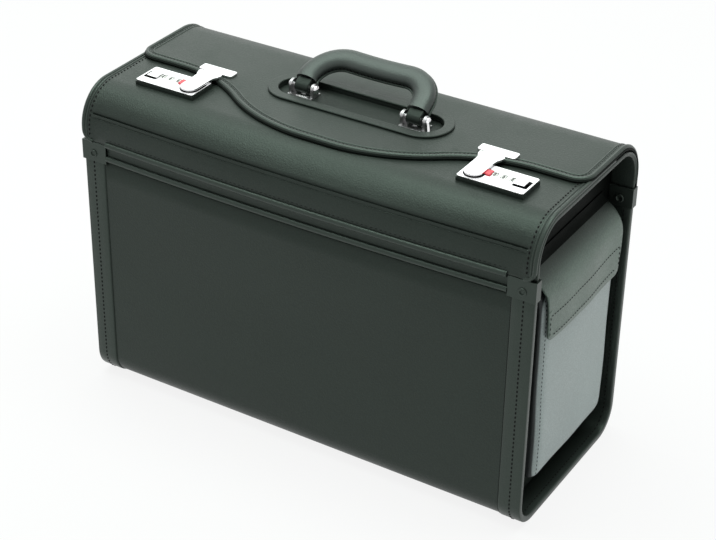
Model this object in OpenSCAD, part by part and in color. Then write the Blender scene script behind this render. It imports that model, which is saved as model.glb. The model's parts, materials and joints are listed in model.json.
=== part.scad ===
// Pilot case: a leather-covered U shell with recessed ends, two overlapping top flaps,
// a carrying handle that stands through a slot, two combination locks and end pockets.
// Millimetres. X runs along the case, the front faces -Y, and the case stands on Z = 0.

/* [Case] */
// Length of the case over its ends
case_l = 460; // [420:5:500]
// Depth of the case, front to back
case_d = 190; // [180:5:220]
// Height of the open mouth of the U shell
mouth_h = 241; // [225:1:260]
// Height of the top of the end arches
arch_h = 303; // [290:1:330]
// Thickness of the covered board walls
wall_t = 4; // [3:0.5:5]
// Outside radius of the two long bottom edges
bottom_r = 26; // [15:1:40]
// How deep the end panels sit inside the ends
recess = 22; // [21.5:0.5:30]
// Thickness of the end panels
panel_t = 3; // [2:0.5:4]
// Thickness of the inner lining
lining_t = 0.8; // [0.5:0.1:1.5]
// Thickness of the loose base board
base_t = 3; // [2:0.5:5]
// Width of the sewn edge binding
binding_w = 21; // [15:1:30]
// Thickness of the edge binding
binding_t = 0.8; // [0.5:0.1:1.2]

/* [End arches] */
// Thickness of the arch bands
arch_t = 3.5; // [2.5:0.5:5]
// Radius of the front top corner of the arches
front_r = 32.5; // [28:0.5:40]
// Radius of the rear top corner of the arches
rear_r = 32.5; // [28:0.5:36]
// Set-back of the arches from the shell's outer face
arch_in = 0.8; // [0.5:0.1:1.5]

/* [Corner brackets] */
// Width of a corner bracket along the case
bracket_w = 25; // [22:0.5:30]
// Height of a corner bracket
bracket_h = 19.5; // [14:0.5:24]
// Sheet thickness of a corner bracket
bracket_t = 1.6; // [1:0.1:2]
// Radius of a rivet head
rivet_r = 3.5; // [2.5:0.1:4]

/* [Flaps] */
// Thickness of both flaps
flap_t = 3.2; // [2.5:0.1:4]
// Running gap between layers that lie on each other
layer_gap = 0.3; // [0.25:0.05:0.5]
// How far behind the middle the front flap reaches
front_reach = 45; // [35:1:55]
// Radius of the piping beads along the mouth and the flaps
bead_r = 2.3; // [2:0.1:2.5]
// Height of the flap's lower edge above the mouth
flap_low = 17.2; // [17:0.1:19]
// Width of the sewn binding on the flap's edges
hem_w = 8; // [5:0.5:12]
// Thickness of the sewn binding on the flap's edges
hem_t = 0.8; // [0.5:0.1:1]

/* [Curved front edge of the rear flap] */
// Half length of the straight middle of the lobe
lobe_flat = 15; // [5:1:25]
// Foremost point of the lobe, in front of the middle
lobe_y = 67; // [60:1:68]
// Radius of the lobe
lobe_r = 150; // [140:1:160]
// Radius that leads from the lobe to the straight sides
lobe_blend_r = 130; // [115:1:140]
// Turn of the lobe, in degrees
lobe_turn = 37; // [34:0.5:38]
// Radius of the rear flap's front corners
flap_corner_r = 16; // [10:1:22]

/* [Handle slot] */
// Length of the slot in the rear flap
slot_l = 165; // [160:1:180]
// Width of the slot in the rear flap
slot_w = 35; // [34:0.5:38]
// Place of the slot's centre behind the middle
slot_y = 7; // [6:0.5:8]
// Width of the raised rim around the slot
rim_w = 9.5; // [6:0.5:12]
// Height of the raised rim
rim_h = 2.2; // [1.5:0.1:2.6]
// Wall of the sleeve that lines the slot
sleeve_t = 1; // [0.8:0.1:1.5]

/* [Handle] */
// Half distance between the middles of the handle's legs
handle_w = 60; // [58:0.5:64]
// Height of the grip's middle above the pins
handle_h = 37; // [34:0.5:38]
// Bend radius of the grip's middle line
handle_r = 29; // [25:1:30]
// Thickness of the grip as seen from the front
grip_w = 18.6; // [16:0.2:20]
// Thickness of the grip from front to back
grip_t = 17; // [14:0.5:17.5]
// Corner radius of the grip's section
grip_round = 6.5; // [4:0.5:8]
// Backward lean of the handle at rest, in degrees
handle_lean = 61; // [59:0.5:63]
// Place of the handle's pins behind the middle
pin_y = 5; // [4:0.5:6]
// Height of the handle's pins above the front flap
pin_up = 8.2; // [8:0.1:8.5]
// Half distance between the middles of the handle's brackets
pin_x = 57.5; // [55:0.5:60]
// Radius of the handle's pins
pin_r = 2.2; // [1.8:0.1:2.5]
// Running clearance of a pin or axle, on the radius
run_gap = 0.05; // [0.02:0.01:0.08]
// Width of a leather loop
loop_w = 17; // [14:0.5:19]
// Thickness of the leather around a pin
loop_t = 3.6; // [2.5:0.1:3.8]

/* [Locks] */
// Length of a lock
lock_l = 62.5; // [60:0.5:66]
// Depth of a lock, front to back
lock_d = 31; // [30:0.5:34]
// Distance of a lock's middle from the end of the case
lock_in = 65.25; // [60:0.25:72]
// Place of a lock's middle in front of the case's middle
lock_y = 44.5; // [43:0.5:45]
// Height of the lock's case on the flap
lock_h = 3.6; // [3:0.1:4.5]
// Thickness of the lock's cover plate
cover_t = 1.6; // [1.2:0.1:2]
// Depth of the lock's tray below the top of the flap
tray_deep = 4.8; // [4.6:0.1:6]
// Wall of the lock's tray
tray_wall = 1; // [0.8:0.1:1.2]
// Radius of a number dial
dial_r = 4.6; // [4:0.1:4.7]
// Width of a number dial
dial_w = 4.6; // [4:0.1:5.2]
// Distance from dial to dial
dial_pitch = 8.3; // [7.8:0.1:8.5]
// Radius of the dials' axle
axle_r = 1.2; // [0.8:0.1:1.5]
// Travel of the slide button
button_travel = 3.5; // [2:0.25:3.5]

/* [Hasps] */
// Distance of a hasp from its lock's middle, along the case
hasp_aside = 20.5; // [19:0.25:21]
// Width of a hasp's T head
tee_w = 37; // [34:0.5:40]
// Depth of a hasp's T head
tee_d = 13; // [11:0.5:15]
// Thickness of the hasp plates
hasp_t = 2; // [1.5:0.1:2.2]
// Width of a hasp's stem
stem_w = 17.5; // [16:0.5:19]
// Radius of the hasp's hinge barrel
barrel_r = 2.3; // [2.1:0.1:2.5]
// Radius of the hasp's hinge pin
hasp_pin_r = 1; // [0.8:0.1:1.2]

/* [End pockets] */
// Width of a pocket
pocket_w = 144; // [120:2:160]
// Height of a pocket's bottom edge
pocket_low = 34; // [30:1:45]
// Height of the top of a pocket
pocket_top = 238; // [200:2:240]
// Thickness of the pocket's leather
pocket_t = 2; // [1.5:0.1:2.5]
// Height of the lower edge of the pocket flap
pocket_flap_low = 185; // [150:5:200]
// Height of the pocket flap's hinge line
pocket_hinge = 256; // [250:1:262]
// Slope of the pocket flap's top part
pocket_slope = 9; // [8:0.5:10]

/* [Inside] */
// Place of the divider behind the middle
divider_y = 20; // [5:1:40]
// Height of the divider
divider_h = 200; // [120:5:220]
// Thickness of the divider
divider_t = 3; // [2:0.5:4]
// Depth of the rails that hold the divider
rail_d = 5; // [3:0.5:8]

/* [Hidden] */
$fn = 64;

far = case_l + case_d;
half_l = case_l / 2;
half_d = case_d / 2;
board_l = half_l - binding_t;
panel_x = half_l - recess;
inner_half = panel_x - panel_t;
base_z = binding_t + wall_t + lining_t;
rail_t = 1.5;
arch_half = half_d - arch_in;
front_grow = layer_gap + flap_t;
rear_grow = front_grow + layer_gap + flap_t;
front_top = arch_h + front_grow;
rear_top = arch_h + rear_grow;
flap_edge_z = mouth_h + flap_low;
bead_half = half_l - bracket_w - layer_gap;
flap_bead_y = arch_half + layer_gap + bead_r;
strip_in = 1.9;
strip_y = half_d - strip_in;
strip_h = flap_low + flap_t;

bracket_drop = 3;
bracket_z = mouth_h - bracket_drop;
bracket_face = half_d + binding_t + bracket_t;
bracket_deep = wall_t + 2 * (binding_t + bracket_t);
rivet_in = 11;
rivet_up = 8;
rivet_z = bracket_z + rivet_up;
shank_r = 1.6;
head_t = 1;

slot_low = rear_top - flap_t;
pin_z = front_top + pin_up;
ear_t = 2.5;
ear_play = 1.5;
ear_gap = loop_w / 2 + ear_play;
ear_r = 5.2;
foot_t = 1.5;
foot_w = 16;
foot_rivet_r = 1.6;
foot_head_r = 2.6;
foot_head_t = 0.5;
foot_holes = [-5, 5];
plate_t = 1.2;
plate_w = 26;
plate_over = 18;
plate_l = 2 * (pin_x + plate_over);
plate_z = arch_h + layer_gap - plate_t;
leg_end = 6.5;
core_w = 8;
core_t = 2.6;
core_gap = 0.1;

lock_z = front_top;
cover_z = lock_z + lock_h;
cover_top = cover_z + cover_t;
tray_z = lock_z - tray_deep;
tray_in_x = 2.5;
tray_in_y = 3.5;
tray_l = lock_l - 2 * tray_in_x;
tray_d = lock_d - 2 * tray_in_y;
tray_gap = 0.2;
dial_show = 0.6;
dial_back = 2.5;
axle_z = cover_top + dial_show - dial_r;
dial_y = dial_back - lock_y;
dial_x0 = -3.75;
indicator_t = 0.5;
button_w = 10.5;
button_d = 13;
button_h = 1.3;
button_edge = 4.6;
button_x = lock_l / 2 - button_edge - button_w / 2;
neck = 5;
bolt_d = 3;
bolt_h = 2.2;
bolt_front = 9.2;
bolt_gap = 0.2;
bolt_y = -lock_y - bolt_front;
bolt_z = lock_z + bolt_gap;
latch_gap = 0.4;
slide_gap = 0.1;
window_d = 2 * sqrt(pow(dial_r, 2) - pow(cover_z - axle_z, 2)) + 3 * layer_gap;
catch_gap = 0.6;
catch_swing = 3.6;
notch_r = 0.7;
lug_t = 1;
lug_w = 5;
lug_x = 1.5 * dial_pitch;

lock_x = half_l - lock_in;
hasp_x = lock_x - hasp_aside;
catch_x = -hasp_aside;
stem_z = cover_top + layer_gap;
barrel_y = -14.5;
barrel_z = rear_top + layer_gap + barrel_r;
stem_over = 12.5;
stem_end = lock_y + stem_over;
catch_w = 6;
catch_low = bolt_z - bolt_gap;
knuckle_gap = 0.4;
tee_gap = 0.6;
knuckle = stem_w / 2 + knuckle_gap;
tee_y = barrel_y + barrel_r + tee_gap;

flap_in = 1;
pocket_x = half_l - flap_in - pocket_t - layer_gap;
flap_x = pocket_x + layer_gap;
shoulder_z = pocket_hinge - pocket_slope;
roll_r = pocket_t / 2 + 0.2;
roll_x = panel_x + layer_gap + roll_r;

// A shape in the Y-Z plane, drawn out along X
module along_x(from, to)
  translate([from, 0, 0]) rotate([90, 0, 90]) linear_extrude(to - from) children();

// A rod along X, centred on the case's middle
module x_rod(y, z, l, r) translate([0, y, z]) rotate([0, 90, 0]) cylinder(h = l, r = r, center = true);

// The same piece at the other end of the case
module other_end() mirror([1, 0, 0]) children();

// Filled outline of the U shell, inset from its outer face
module u_outline(inset, top) {
  d = half_d - inset;
  r = bottom_r - inset;
  low = binding_t + inset;
  translate([-d, low + r]) square([2 * d, top - low - r]);
  translate([-d + r, low]) square([2 * (d - r), r]);
  for (s = [-1, 1]) translate([s * (d - r), low + r]) circle(r);
}

// Filled outline of the end arch, grown from its outer face, with its rear side moved in
module arch_outline(grow, low, rear_in = 0) {
  front = arch_half + grow;
  rear = front - rear_in;
  top = arch_h + grow;
  rf = front_r + grow;
  rr = rear_r + grow;
  intersection() {
    translate([-far, low]) square([2 * far, far]);
    union() {
      translate([-front, 0]) square([front, top - rf]);
      square([rear, top - rr]);
      translate([rf - front, 0]) square([front + rear - rf - rr, top]);
      translate([rf - front, top - rf]) circle(rf);
      translate([rear - rr, top - rr]) circle(rr);
    }
  }
}

// Section of a band between two growths of the arch
module arch_section(inner, outer, low, rear_in = 0) difference() {
  arch_outline(outer, low, rear_in);
  arch_outline(inner, low - 1, rear_in);
}

module outer_shell() color([0.16, 0.17, 0.17])
  along_x(-board_l, board_l) difference() {
    u_outline(0, mouth_h);
    u_outline(wall_t, mouth_h + 1);
  }

// Sewn tape folded round the raw end of the shell
module edge_binding() color([0.13, 0.14, 0.14]) difference() {
  along_x(half_l - binding_w, half_l) difference() {
    u_outline(-binding_t, mouth_h);
    u_outline(wall_t + binding_t, mouth_h + 1);
  }
  along_x(0, board_l) difference() {
    u_outline(0, mouth_h + 1);
    u_outline(wall_t, mouth_h + 2);
  }
  along_x(0, panel_x + panel_t) u_outline(wall_t, mouth_h + 1);
}

module end_panel() color([0.10, 0.10, 0.10])
  along_x(panel_x - panel_t, panel_x) {
    u_outline(wall_t, mouth_h);
    arch_outline(-arch_t, mouth_h);
  }

// Covered band that carries the flaps over each end
module arch_band() color([0.15, 0.16, 0.16]) difference() {
  along_x(panel_x, half_l) arch_section(-arch_t, 0, mouth_h);
  rivet_bore();
  mirror([0, 1, 0]) rivet_bore();
}

// Clip of sheet metal round the rim where shell and arch meet
module corner_bracket() color([0.09, 0.09, 0.10]) difference() {
  translate([half_l - bracket_w, -bracket_face, bracket_z])
    cube([bracket_w + bracket_t, bracket_deep, bracket_h]);
  translate([half_l - bracket_w - 1, -half_d - binding_t, bracket_z - 1])
    cube([bracket_w + 1, wall_t + 2 * binding_t, bracket_h + 2]);
  translate([half_l - bracket_w - 1, -half_d + wall_t, bracket_z - 1])
    cube([bracket_w - recess + 1 + layer_gap, binding_t + bracket_t + 1, bracket_h + 2]);
  rivet_bore();
}

module rear_bracket() mirror([0, 1, 0]) corner_bracket();

// Puts a piece that is drawn along Z on the line of a bracket's rivet, with Z outwards
module at_rivet() translate([half_l - rivet_in, -bracket_face, rivet_z]) rotate([90, 0, 0]) children();

module rivet_bore() at_rivet() cylinder(h = 3 * bracket_deep, r = shank_r + run_gap, center = true);

// Hollow rivet with a head on both sides
module bracket_rivet() color([0.12, 0.12, 0.13]) at_rivet() difference() {
  union() {
    cylinder(h = head_t, r = rivet_r);
    translate([0, 0, -bracket_deep]) cylinder(h = bracket_deep, r = shank_r);
    translate([0, 0, -bracket_deep - head_t]) cylinder(h = head_t, r = rivet_r);
  }
  translate([0, 0, head_t / 2]) cylinder(h = head_t, r = rivet_r / 2);
}

module bracket_rivets() for (a = [0, 1], b = [0, 1])
  mirror([a, 0, 0]) mirror([0, b, 0]) bracket_rivet();

// Soft strip that joins a flap to the mouth of the shell, with a thicker part behind the flap
module hinge_strip() color([0.11, 0.12, 0.12]) {
  translate([-inner_half, -strip_y, mouth_h]) cube([2 * inner_half, strip_y - half_d + wall_t, strip_h]);
  translate([-inner_half, -arch_half, mouth_h + 2 * bead_r])
    cube([2 * inner_half, arch_half - half_d + wall_t, strip_h - 2 * bead_r]);
}

module bead(y, z) x_rod(y, z, 2 * bead_half, bead_r);

module mouth_piping() color([0.20, 0.21, 0.21]) for (s = [-1, 1])
  bead(s * (strip_y + bead_r), mouth_h + bead_r);

module lining() color([0.22, 0.22, 0.24])
  along_x(-panel_x + panel_t, panel_x - panel_t) difference() {
    u_outline(wall_t, mouth_h - 2);
    u_outline(wall_t + lining_t, mouth_h - 1);
  }

module base_board() color([0.18, 0.18, 0.19])
  translate([-inner_half + 1, bottom_r - half_d, base_z])
    cube([2 * inner_half - 2, case_d - 2 * bottom_r, base_t]);

module divider() color([0.24, 0.24, 0.26])
  translate([-inner_half + run_gap, divider_y - divider_t / 2, base_z + base_t])
    cube([2 * (inner_half - run_gap), divider_t, divider_h]);

// Channels on the end panels that the divider slides into
module divider_rails() color([0.14, 0.14, 0.14]) for (a = [0, 1], b = [0, 1])
  mirror([a, 0, 0]) translate([inner_half - rail_d, divider_y, base_z + base_t]) mirror([0, b, 0])
    translate([0, divider_t / 2 + 0.1, 0]) cube([rail_d, rail_t, divider_h]);

// Pouch with side gussets, open at the top
module pocket() color([0.30, 0.32, 0.33]) difference() {
  translate([panel_x, -pocket_w / 2, pocket_low])
    cube([pocket_x - panel_x, pocket_w, pocket_top - pocket_low]);
  translate([panel_x + pocket_t, -pocket_w / 2 + pocket_t, pocket_low + pocket_t])
    cube([pocket_x - panel_x - 2 * pocket_t, pocket_w - 2 * pocket_t, pocket_top]);
}

// Flap of the pocket: a rolled upper edge, a sloping top and a front that hangs over the pouch
module pocket_flap() color([0.26, 0.28, 0.28]) {
  translate([roll_x, 0, pocket_hinge]) rotate([90, 0, 0])
    cylinder(h = pocket_w + 2, r = roll_r, center = true);
  translate([0, pocket_w / 2 + 1, 0]) rotate([90, 0, 0]) linear_extrude(pocket_w + 2)
    polygon([[roll_x, pocket_hinge - pocket_t / 2], [roll_x, pocket_hinge + pocket_t / 2],
      [flap_x - 3 * pocket_t, shoulder_z + pocket_t], [flap_x + pocket_t, shoulder_z - 3.5 * pocket_t],
      [flap_x + pocket_t, pocket_flap_low], [flap_x, pocket_flap_low],
      [flap_x, shoulder_z - 4 * pocket_t], [flap_x - 3.4 * pocket_t, shoulder_z]]);
}

// Room for the bead between the corner brackets, under the front or rear flap
module bead_notch() translate([-bead_half, -far / 2, flap_edge_z - 1]) cube([2 * bead_half, far, 1 + bead_r]);

// Front flap: hinged at the front, it lies under the rear flap and carries locks and handle
module front_flap() color([0.17, 0.18, 0.18]) difference() {
  along_x(-half_l + hem_t, half_l - hem_t) difference() {
    arch_section(layer_gap, front_grow, flap_edge_z);
    translate([front_reach, 0]) square([far, far]);
  }
  bead_notch();
  for (s = [-1, 1]) translate([s * lock_x, -lock_y, front_top])
    cube([tray_l + 2 * tray_gap, tray_d + 2 * tray_gap, 4 * flap_t], true);
  for (s = [-1, 1], x = foot_holes) translate([s * (pin_x + x), pin_y, front_top - 2 * flap_t])
    cylinder(h = 4 * flap_t, r = foot_rivet_r + run_gap);
}

module front_flap_piping() color([0.20, 0.21, 0.21]) bead(-flap_bead_y, flap_edge_z);

// Sewn binding folded round both ends of the front flap
module front_flap_binding() color([0.14, 0.15, 0.15]) for (a = [0, 1]) mirror([a, 0, 0])
  along_x(half_l - hem_t, half_l) difference() {
    arch_section(layer_gap, front_grow, flap_edge_z);
    translate([front_reach, 0]) square([far, far]);
  }

module handle_plate() color([0.55, 0.56, 0.58]) difference() {
  translate([-plate_l / 2, pin_y - plate_w / 2, plate_z]) cube([plate_l, plate_w, plate_t]);
  for (s = [-1, 1], x = foot_holes) translate([s * (pin_x + x), pin_y, plate_z - 1])
    cylinder(h = 2 * plate_t + 1, r = foot_rivet_r + run_gap);
}

// Chrome bracket with two ears for a handle pin
module handle_bracket() color([0.85, 0.86, 0.88]) difference() {
  union() {
    translate([pin_x - ear_gap - ear_t, pin_y - foot_w / 2, front_top])
      cube([2 * (ear_gap + ear_t), foot_w, foot_t]);
    for (s = [-1, 1]) translate([pin_x + s * (ear_gap + ear_t / 2), pin_y, pin_z]) {
      translate([-ear_t / 2, -ear_r, -pin_up]) cube([ear_t, 2 * ear_r, pin_up]);
      x_rod(0, 0, ear_t, ear_r);
    }
  }
  x_rod(pin_y, pin_z, far, pin_r + run_gap);
  for (x = foot_holes) translate([pin_x + x, pin_y, front_top - 1])
    cylinder(h = 2 * plate_t + foot_t, r = foot_rivet_r + run_gap);
}

module handle_pins() color([0.88, 0.89, 0.90]) for (a = [0, 1]) mirror([a, 0, 0])
  translate([pin_x, pin_y, pin_z]) {
    x_rod(0, 0, 2 * (ear_gap + ear_t), pin_r);
    for (s = [-1, 1]) translate([s * (ear_gap + ear_t + head_t / 2), 0, 0])
      x_rod(0, 0, head_t, pin_r + head_t);
  }

module handle_rivets() color([0.80, 0.81, 0.83]) for (s = [-1, 1], x = foot_holes)
  translate([s * (pin_x + x), pin_y, 0]) {
    translate([0, 0, plate_z - foot_head_t]) cylinder(h = foot_head_t, r = foot_head_r);
    translate([0, 0, plate_z]) cylinder(h = plate_t + flap_t + foot_t, r = foot_rivet_r);
    translate([0, 0, front_top + foot_t]) cylinder(h = foot_head_t, r = foot_head_r);
  }

// Moves a piece drawn upright over the pins to the leaning rest pose
module handle_pose() translate([0, pin_y, pin_z]) rotate([-handle_lean, 0, 0]) children();

// Section of the grip, across its middle line
module grip_section(w, t, r) {
  square([w, t - 2 * r], true);
  square([w - 2 * r, t], true);
  for (a = [-1, 1], b = [-1, 1]) translate([a * (w / 2 - r), b * (t / 2 - r)]) circle(r);
}

// Sweeps a section along the handle's middle line
module handle_sweep(low) {
  run = handle_w - handle_r;
  translate([0, 0, handle_h]) rotate([0, 90, 0]) translate([0, 0, -run]) linear_extrude(2 * run) children();
  for (a = [0, 1]) mirror([a, 0, 0]) {
    translate([run, 0, handle_h - handle_r]) rotate([90, 0, 0]) rotate_extrude(angle = 90)
      translate([handle_r, 0]) children();
    translate([handle_w, 0, low]) linear_extrude(handle_h - handle_r - low) children();
  }
}

module handle_grip() color([0.19, 0.20, 0.20]) handle_pose() difference() {
  handle_sweep(leg_end) grip_section(grip_w, grip_t, grip_round);
  handle_sweep(leg_end - 1) square([core_t + 2 * core_gap, core_w + 2 * core_gap], true);
}

module handle_core() color([0.50, 0.51, 0.53]) handle_pose()
  handle_sweep(leg_end) square([core_t, core_w], true);

// Leather loops that hang the grip on its pins
module handle_loops() color([0.15, 0.16, 0.16]) handle_pose() for (a = [0, 1]) mirror([a, 0, 0])
  translate([pin_x, 0, 0]) difference() {
    union() {
      x_rod(0, 0, loop_w, pin_r + loop_t);
      translate([-loop_w / 2, -pin_r - loop_t, 0]) cube([loop_w, 2 * (pin_r + loop_t), leg_end]);
    }
    x_rod(0, 0, far, pin_r + run_gap);
  }

// Points of an arc, from one angle to another
function arc(c, r, from, to, n) = [for (i = [0:n])
  let(a = from + (to - from) * i / n) c + r * [cos(a), sin(a)]];

// Half of the rear flap's outline seen from above, inset from its edge
function half_plan(inset) = let(
  out = (lobe_r + lobe_blend_r) * sin(lobe_turn),
  side_y = -lobe_y + (lobe_r + lobe_blend_r) * (1 - cos(lobe_turn)),
  x = half_l - inset,
  r = flap_corner_r - inset)
  concat(
    arc([lobe_flat, lobe_r - lobe_y], lobe_r - inset, 270, 270 + lobe_turn, 12),
    arc([lobe_flat + out, side_y - lobe_blend_r], lobe_blend_r + inset, 90 + lobe_turn, 90, 12),
    arc([x - r, side_y + inset + r], r, 270, 360, 8),
    [[x, far]]);

module plan(inset) {
  right = half_plan(inset);
  n = len(right) - 1;
  polygon(concat(right, [for (i = [0:n]) [-right[n - i].x, right[n - i].y]]));
}

module stadium(l, w) {
  square([l - w, w], true);
  for (s = [-1, 1]) translate([s * (l - w) / 2, 0]) circle(w / 2);
}

module slot_prism(grow, low, high) translate([0, slot_y, low]) linear_extrude(high - low)
  stadium(slot_l + 2 * grow, slot_w + 2 * grow);

// The rear flap lies on the front flap at the top, and close to the arch at the rear
module rear_section(inner, outer) along_x(-half_l, half_l)
  arch_section(inner, outer, flap_edge_z, front_grow);

// Rear flap: hinged at the rear, over the front flap, with a slot for the handle
module rear_flap() color([0.17, 0.18, 0.18]) difference() {
  intersection() {
    rear_section(front_grow + layer_gap, rear_grow);
    linear_extrude(far) plan(hem_t);
  }
  bead_notch();
  slot_prism(sleeve_t, arch_h, far);
}

// Sewn binding round the rear flap's edge
module rear_flap_binding() color([0.14, 0.15, 0.15]) difference() {
  intersection() {
    rear_section(front_grow + layer_gap, rear_grow);
    linear_extrude(far) plan(0);
  }
  translate([0, 0, -1]) linear_extrude(far + 2) plan(hem_t);
}

// Raised bead on the rear flap's edge, and the bead at its hinge
module rear_flap_piping() color([0.21, 0.22, 0.22]) {
  difference() {
    intersection() {
      rear_section(rear_grow, rear_grow + 1);
      linear_extrude(far) plan(hem_t);
    }
    translate([0, 0, -1]) linear_extrude(far + 2) plan(hem_t + hem_w / 2);
    for (s = [-1, 1]) translate([s * hasp_x - tee_w / 2 - 1, -far, 0])
      cube([tee_w + 2, far + tee_y + tee_d, far]);
  }
  bead(flap_bead_y, flap_edge_z);
}

module slot_rim() color([0.24, 0.25, 0.25]) difference() {
  union() {
    slot_prism(rim_w, rear_top, rear_top + rim_h);
    slot_prism(sleeve_t, slot_low, rear_top + rim_h);
  }
  slot_prism(0, arch_h, far);
}

module hasp_plate() color([0.88, 0.89, 0.90]) translate([hasp_x, 0, 0]) difference() {
  union() {
    translate([-tee_w / 2, tee_y, rear_top]) cube([tee_w, tee_d, hasp_t]);
    for (s = [-1, 1]) translate([s * (tee_w / 2 + knuckle) / 2, 0, 0]) {
      x_rod(barrel_y, barrel_z, tee_w / 2 - knuckle, barrel_r);
      translate([-tee_w / 4 + knuckle / 2, barrel_y, barrel_z - barrel_r])
        cube([tee_w / 2 - knuckle, tee_y - barrel_y, rear_top + hasp_t - barrel_z + barrel_r]);
    }
  }
  x_rod(barrel_y, barrel_z, far, hasp_pin_r + run_gap);
}

module hasp() color([0.90, 0.91, 0.92]) translate([hasp_x, 0, 0]) {
  difference() {
    union() {
      x_rod(barrel_y, barrel_z, stem_w, barrel_r);
      translate([-stem_w / 2, stem_w / 2 - stem_end, stem_z])
        cube([stem_w, stem_end - stem_w / 2 + barrel_y, hasp_t]);
      translate([0, stem_w / 2 - stem_end, stem_z]) cylinder(h = hasp_t, r = stem_w / 2);
    }
    x_rod(barrel_y, barrel_z, far, hasp_pin_r + run_gap);
  }
  translate([-catch_w / 2, bolt_y - bolt_d / 2, catch_low]) cube([catch_w, bolt_d, stem_z - catch_low]);
}

module hasp_pins() color([0.80, 0.81, 0.83]) for (s = [-1, 1])
  translate([s * hasp_x, 0, 0]) x_rod(barrel_y, barrel_z, tee_w, hasp_pin_r);

// Places a lock piece that is drawn about the lock's middle, with X towards the end of the case
module at_lock() translate([lock_x, 0, 0]) children();

module lock_base() color([0.10, 0.10, 0.11]) at_lock() difference() {
  union() {
    translate([-lock_l / 2, -lock_y - lock_d / 2, lock_z]) cube([lock_l, lock_d, lock_h]);
    translate([-tray_l / 2, -lock_y - tray_d / 2, tray_z]) cube([tray_l, tray_d, tray_deep]);
  }
  difference() {
    translate([-tray_l / 2 + tray_wall, -lock_y - tray_d / 2 + tray_wall, tray_z + tray_wall])
      cube([tray_l - 2 * tray_wall, tray_d - 2 * tray_wall, far]);
    for (s = [-1, 1]) translate([dial_x0 + dial_pitch + s * lug_x - lug_t / 2, dial_y - lug_w / 2, tray_z])
      cube([lug_t, lug_w, axle_z - tray_z + lug_w / 2]);
  }
  translate([dial_x0 + dial_pitch, 0, 0]) x_rod(dial_y, axle_z, 2 * lug_x + lug_t, axle_r + run_gap);
}

// Cover plate with windows for dials, button and hasp
module lock_cover() color([0.90, 0.91, 0.92]) at_lock() difference() {
  translate([-lock_l / 2, -lock_y - lock_d / 2, cover_z]) cube([lock_l, lock_d, cover_t]);
  for (i = [0:2]) translate([dial_x0 + i * dial_pitch, dial_y, cover_z])
    cube([dial_w + 2 * layer_gap, window_d, 4 * cover_t], true);
  translate([button_x - neck / 2 - layer_gap, -lock_y - neck / 2 - layer_gap, cover_z - 1])
    cube([neck + button_travel + 2 * layer_gap, neck + 2 * layer_gap, cover_t + 2]);
  translate([catch_x - catch_w / 2 - catch_gap, bolt_y - bolt_d / 2 - catch_gap, cover_z - 1])
    cube([catch_w + 2 * catch_gap, bolt_d + catch_swing, cover_t + 2]);
}

module dial_axles() color([0.75, 0.76, 0.78]) for (s = [-1, 1])
  translate([s * (lock_x + dial_x0 + dial_pitch), 0, 0]) x_rod(dial_y, axle_z, 2 * lug_x + lug_t, axle_r);

module dial(i) color([0.92, 0.92, 0.90]) at_lock()
  translate([dial_x0 + i * dial_pitch, dial_y, axle_z]) rotate([0, 90, 0]) difference() {
    cylinder(h = dial_w, r = dial_r, center = true);
    cylinder(h = dial_w + 2, r = axle_r + run_gap, center = true);
    for (k = [0:9]) rotate([0, 0, 36 * k + 18]) translate([dial_r + notch_r / 2, 0, 0])
      cylinder(h = dial_w + 2, r = notch_r, center = true);
  }

module button() color([0.86, 0.87, 0.88]) at_lock() {
  translate([button_x - button_w / 2, -lock_y - button_d / 2, cover_top + slide_gap])
    cube([button_w, button_d, button_h]);
  translate([button_x - neck / 2, -lock_y - neck / 2, cover_z - slide_gap])
    cube([neck, neck, cover_t + 2 * slide_gap]);
}

// Slide bolt: from under the button, past the dials, to the hasp's catch
module bolt() color([0.70, 0.71, 0.73]) at_lock() {
  translate([catch_x + catch_w / 2 + latch_gap, bolt_y - bolt_d / 2, bolt_z])
    cube([button_x + neck / 2 - catch_x - catch_w / 2 - latch_gap, bolt_d, bolt_h]);
  translate([button_x - neck / 2, bolt_y - bolt_d / 2, bolt_z])
    cube([neck, bolt_d / 2 + neck / 2 - lock_y - bolt_y, cover_z - slide_gap - bolt_z]);
}

module lock_indicators() color([0.85, 0.10, 0.14]) for (a = [0, 1]) mirror([a, 0, 0]) at_lock()
  translate([catch_x + stem_w / 2 + layer_gap, dial_y - dial_r, cover_top])
    cube([dial_x0 - dial_w / 2 - catch_x - stem_w / 2 - 3 * layer_gap, 2 * dial_r, indicator_t]);

outer_shell();
other_end() edge_binding();  // left_edge_binding
edge_binding();  // right_edge_binding
other_end() end_panel();  // left_end_panel
end_panel();  // right_end_panel
other_end() arch_band();  // left_arch_band
arch_band();  // right_arch_band
other_end() corner_bracket();  // front_left_bracket
corner_bracket();  // front_right_bracket
other_end() rear_bracket();  // rear_left_bracket
rear_bracket();  // rear_right_bracket
bracket_rivets();
hinge_strip();  // front_hinge_strip
mirror([0, 1, 0]) hinge_strip();  // rear_hinge_strip
mouth_piping();
lining();
base_board();
divider();
divider_rails();
other_end() pocket();  // left_pocket
pocket();  // right_pocket
other_end() pocket_flap();  // left_pocket_flap
pocket_flap();  // right_pocket_flap
front_flap();
front_flap_piping();
front_flap_binding();
handle_plate();
other_end() handle_bracket();  // left_handle_bracket
handle_bracket();  // right_handle_bracket
handle_pins();
handle_rivets();
handle_grip();
handle_core();
handle_loops();
rear_flap();
rear_flap_binding();
rear_flap_piping();
slot_rim();
other_end() hasp_plate();  // left_hasp_plate
hasp_plate();  // right_hasp_plate
other_end() hasp();  // left_hasp
hasp();  // right_hasp
hasp_pins();
other_end() lock_base();  // left_lock_base
lock_base();  // right_lock_base
other_end() lock_cover();  // left_lock_cover
lock_cover();  // right_lock_cover
dial_axles();
other_end() dial(0);  // left_dial_a
other_end() dial(1);  // left_dial_b
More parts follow.
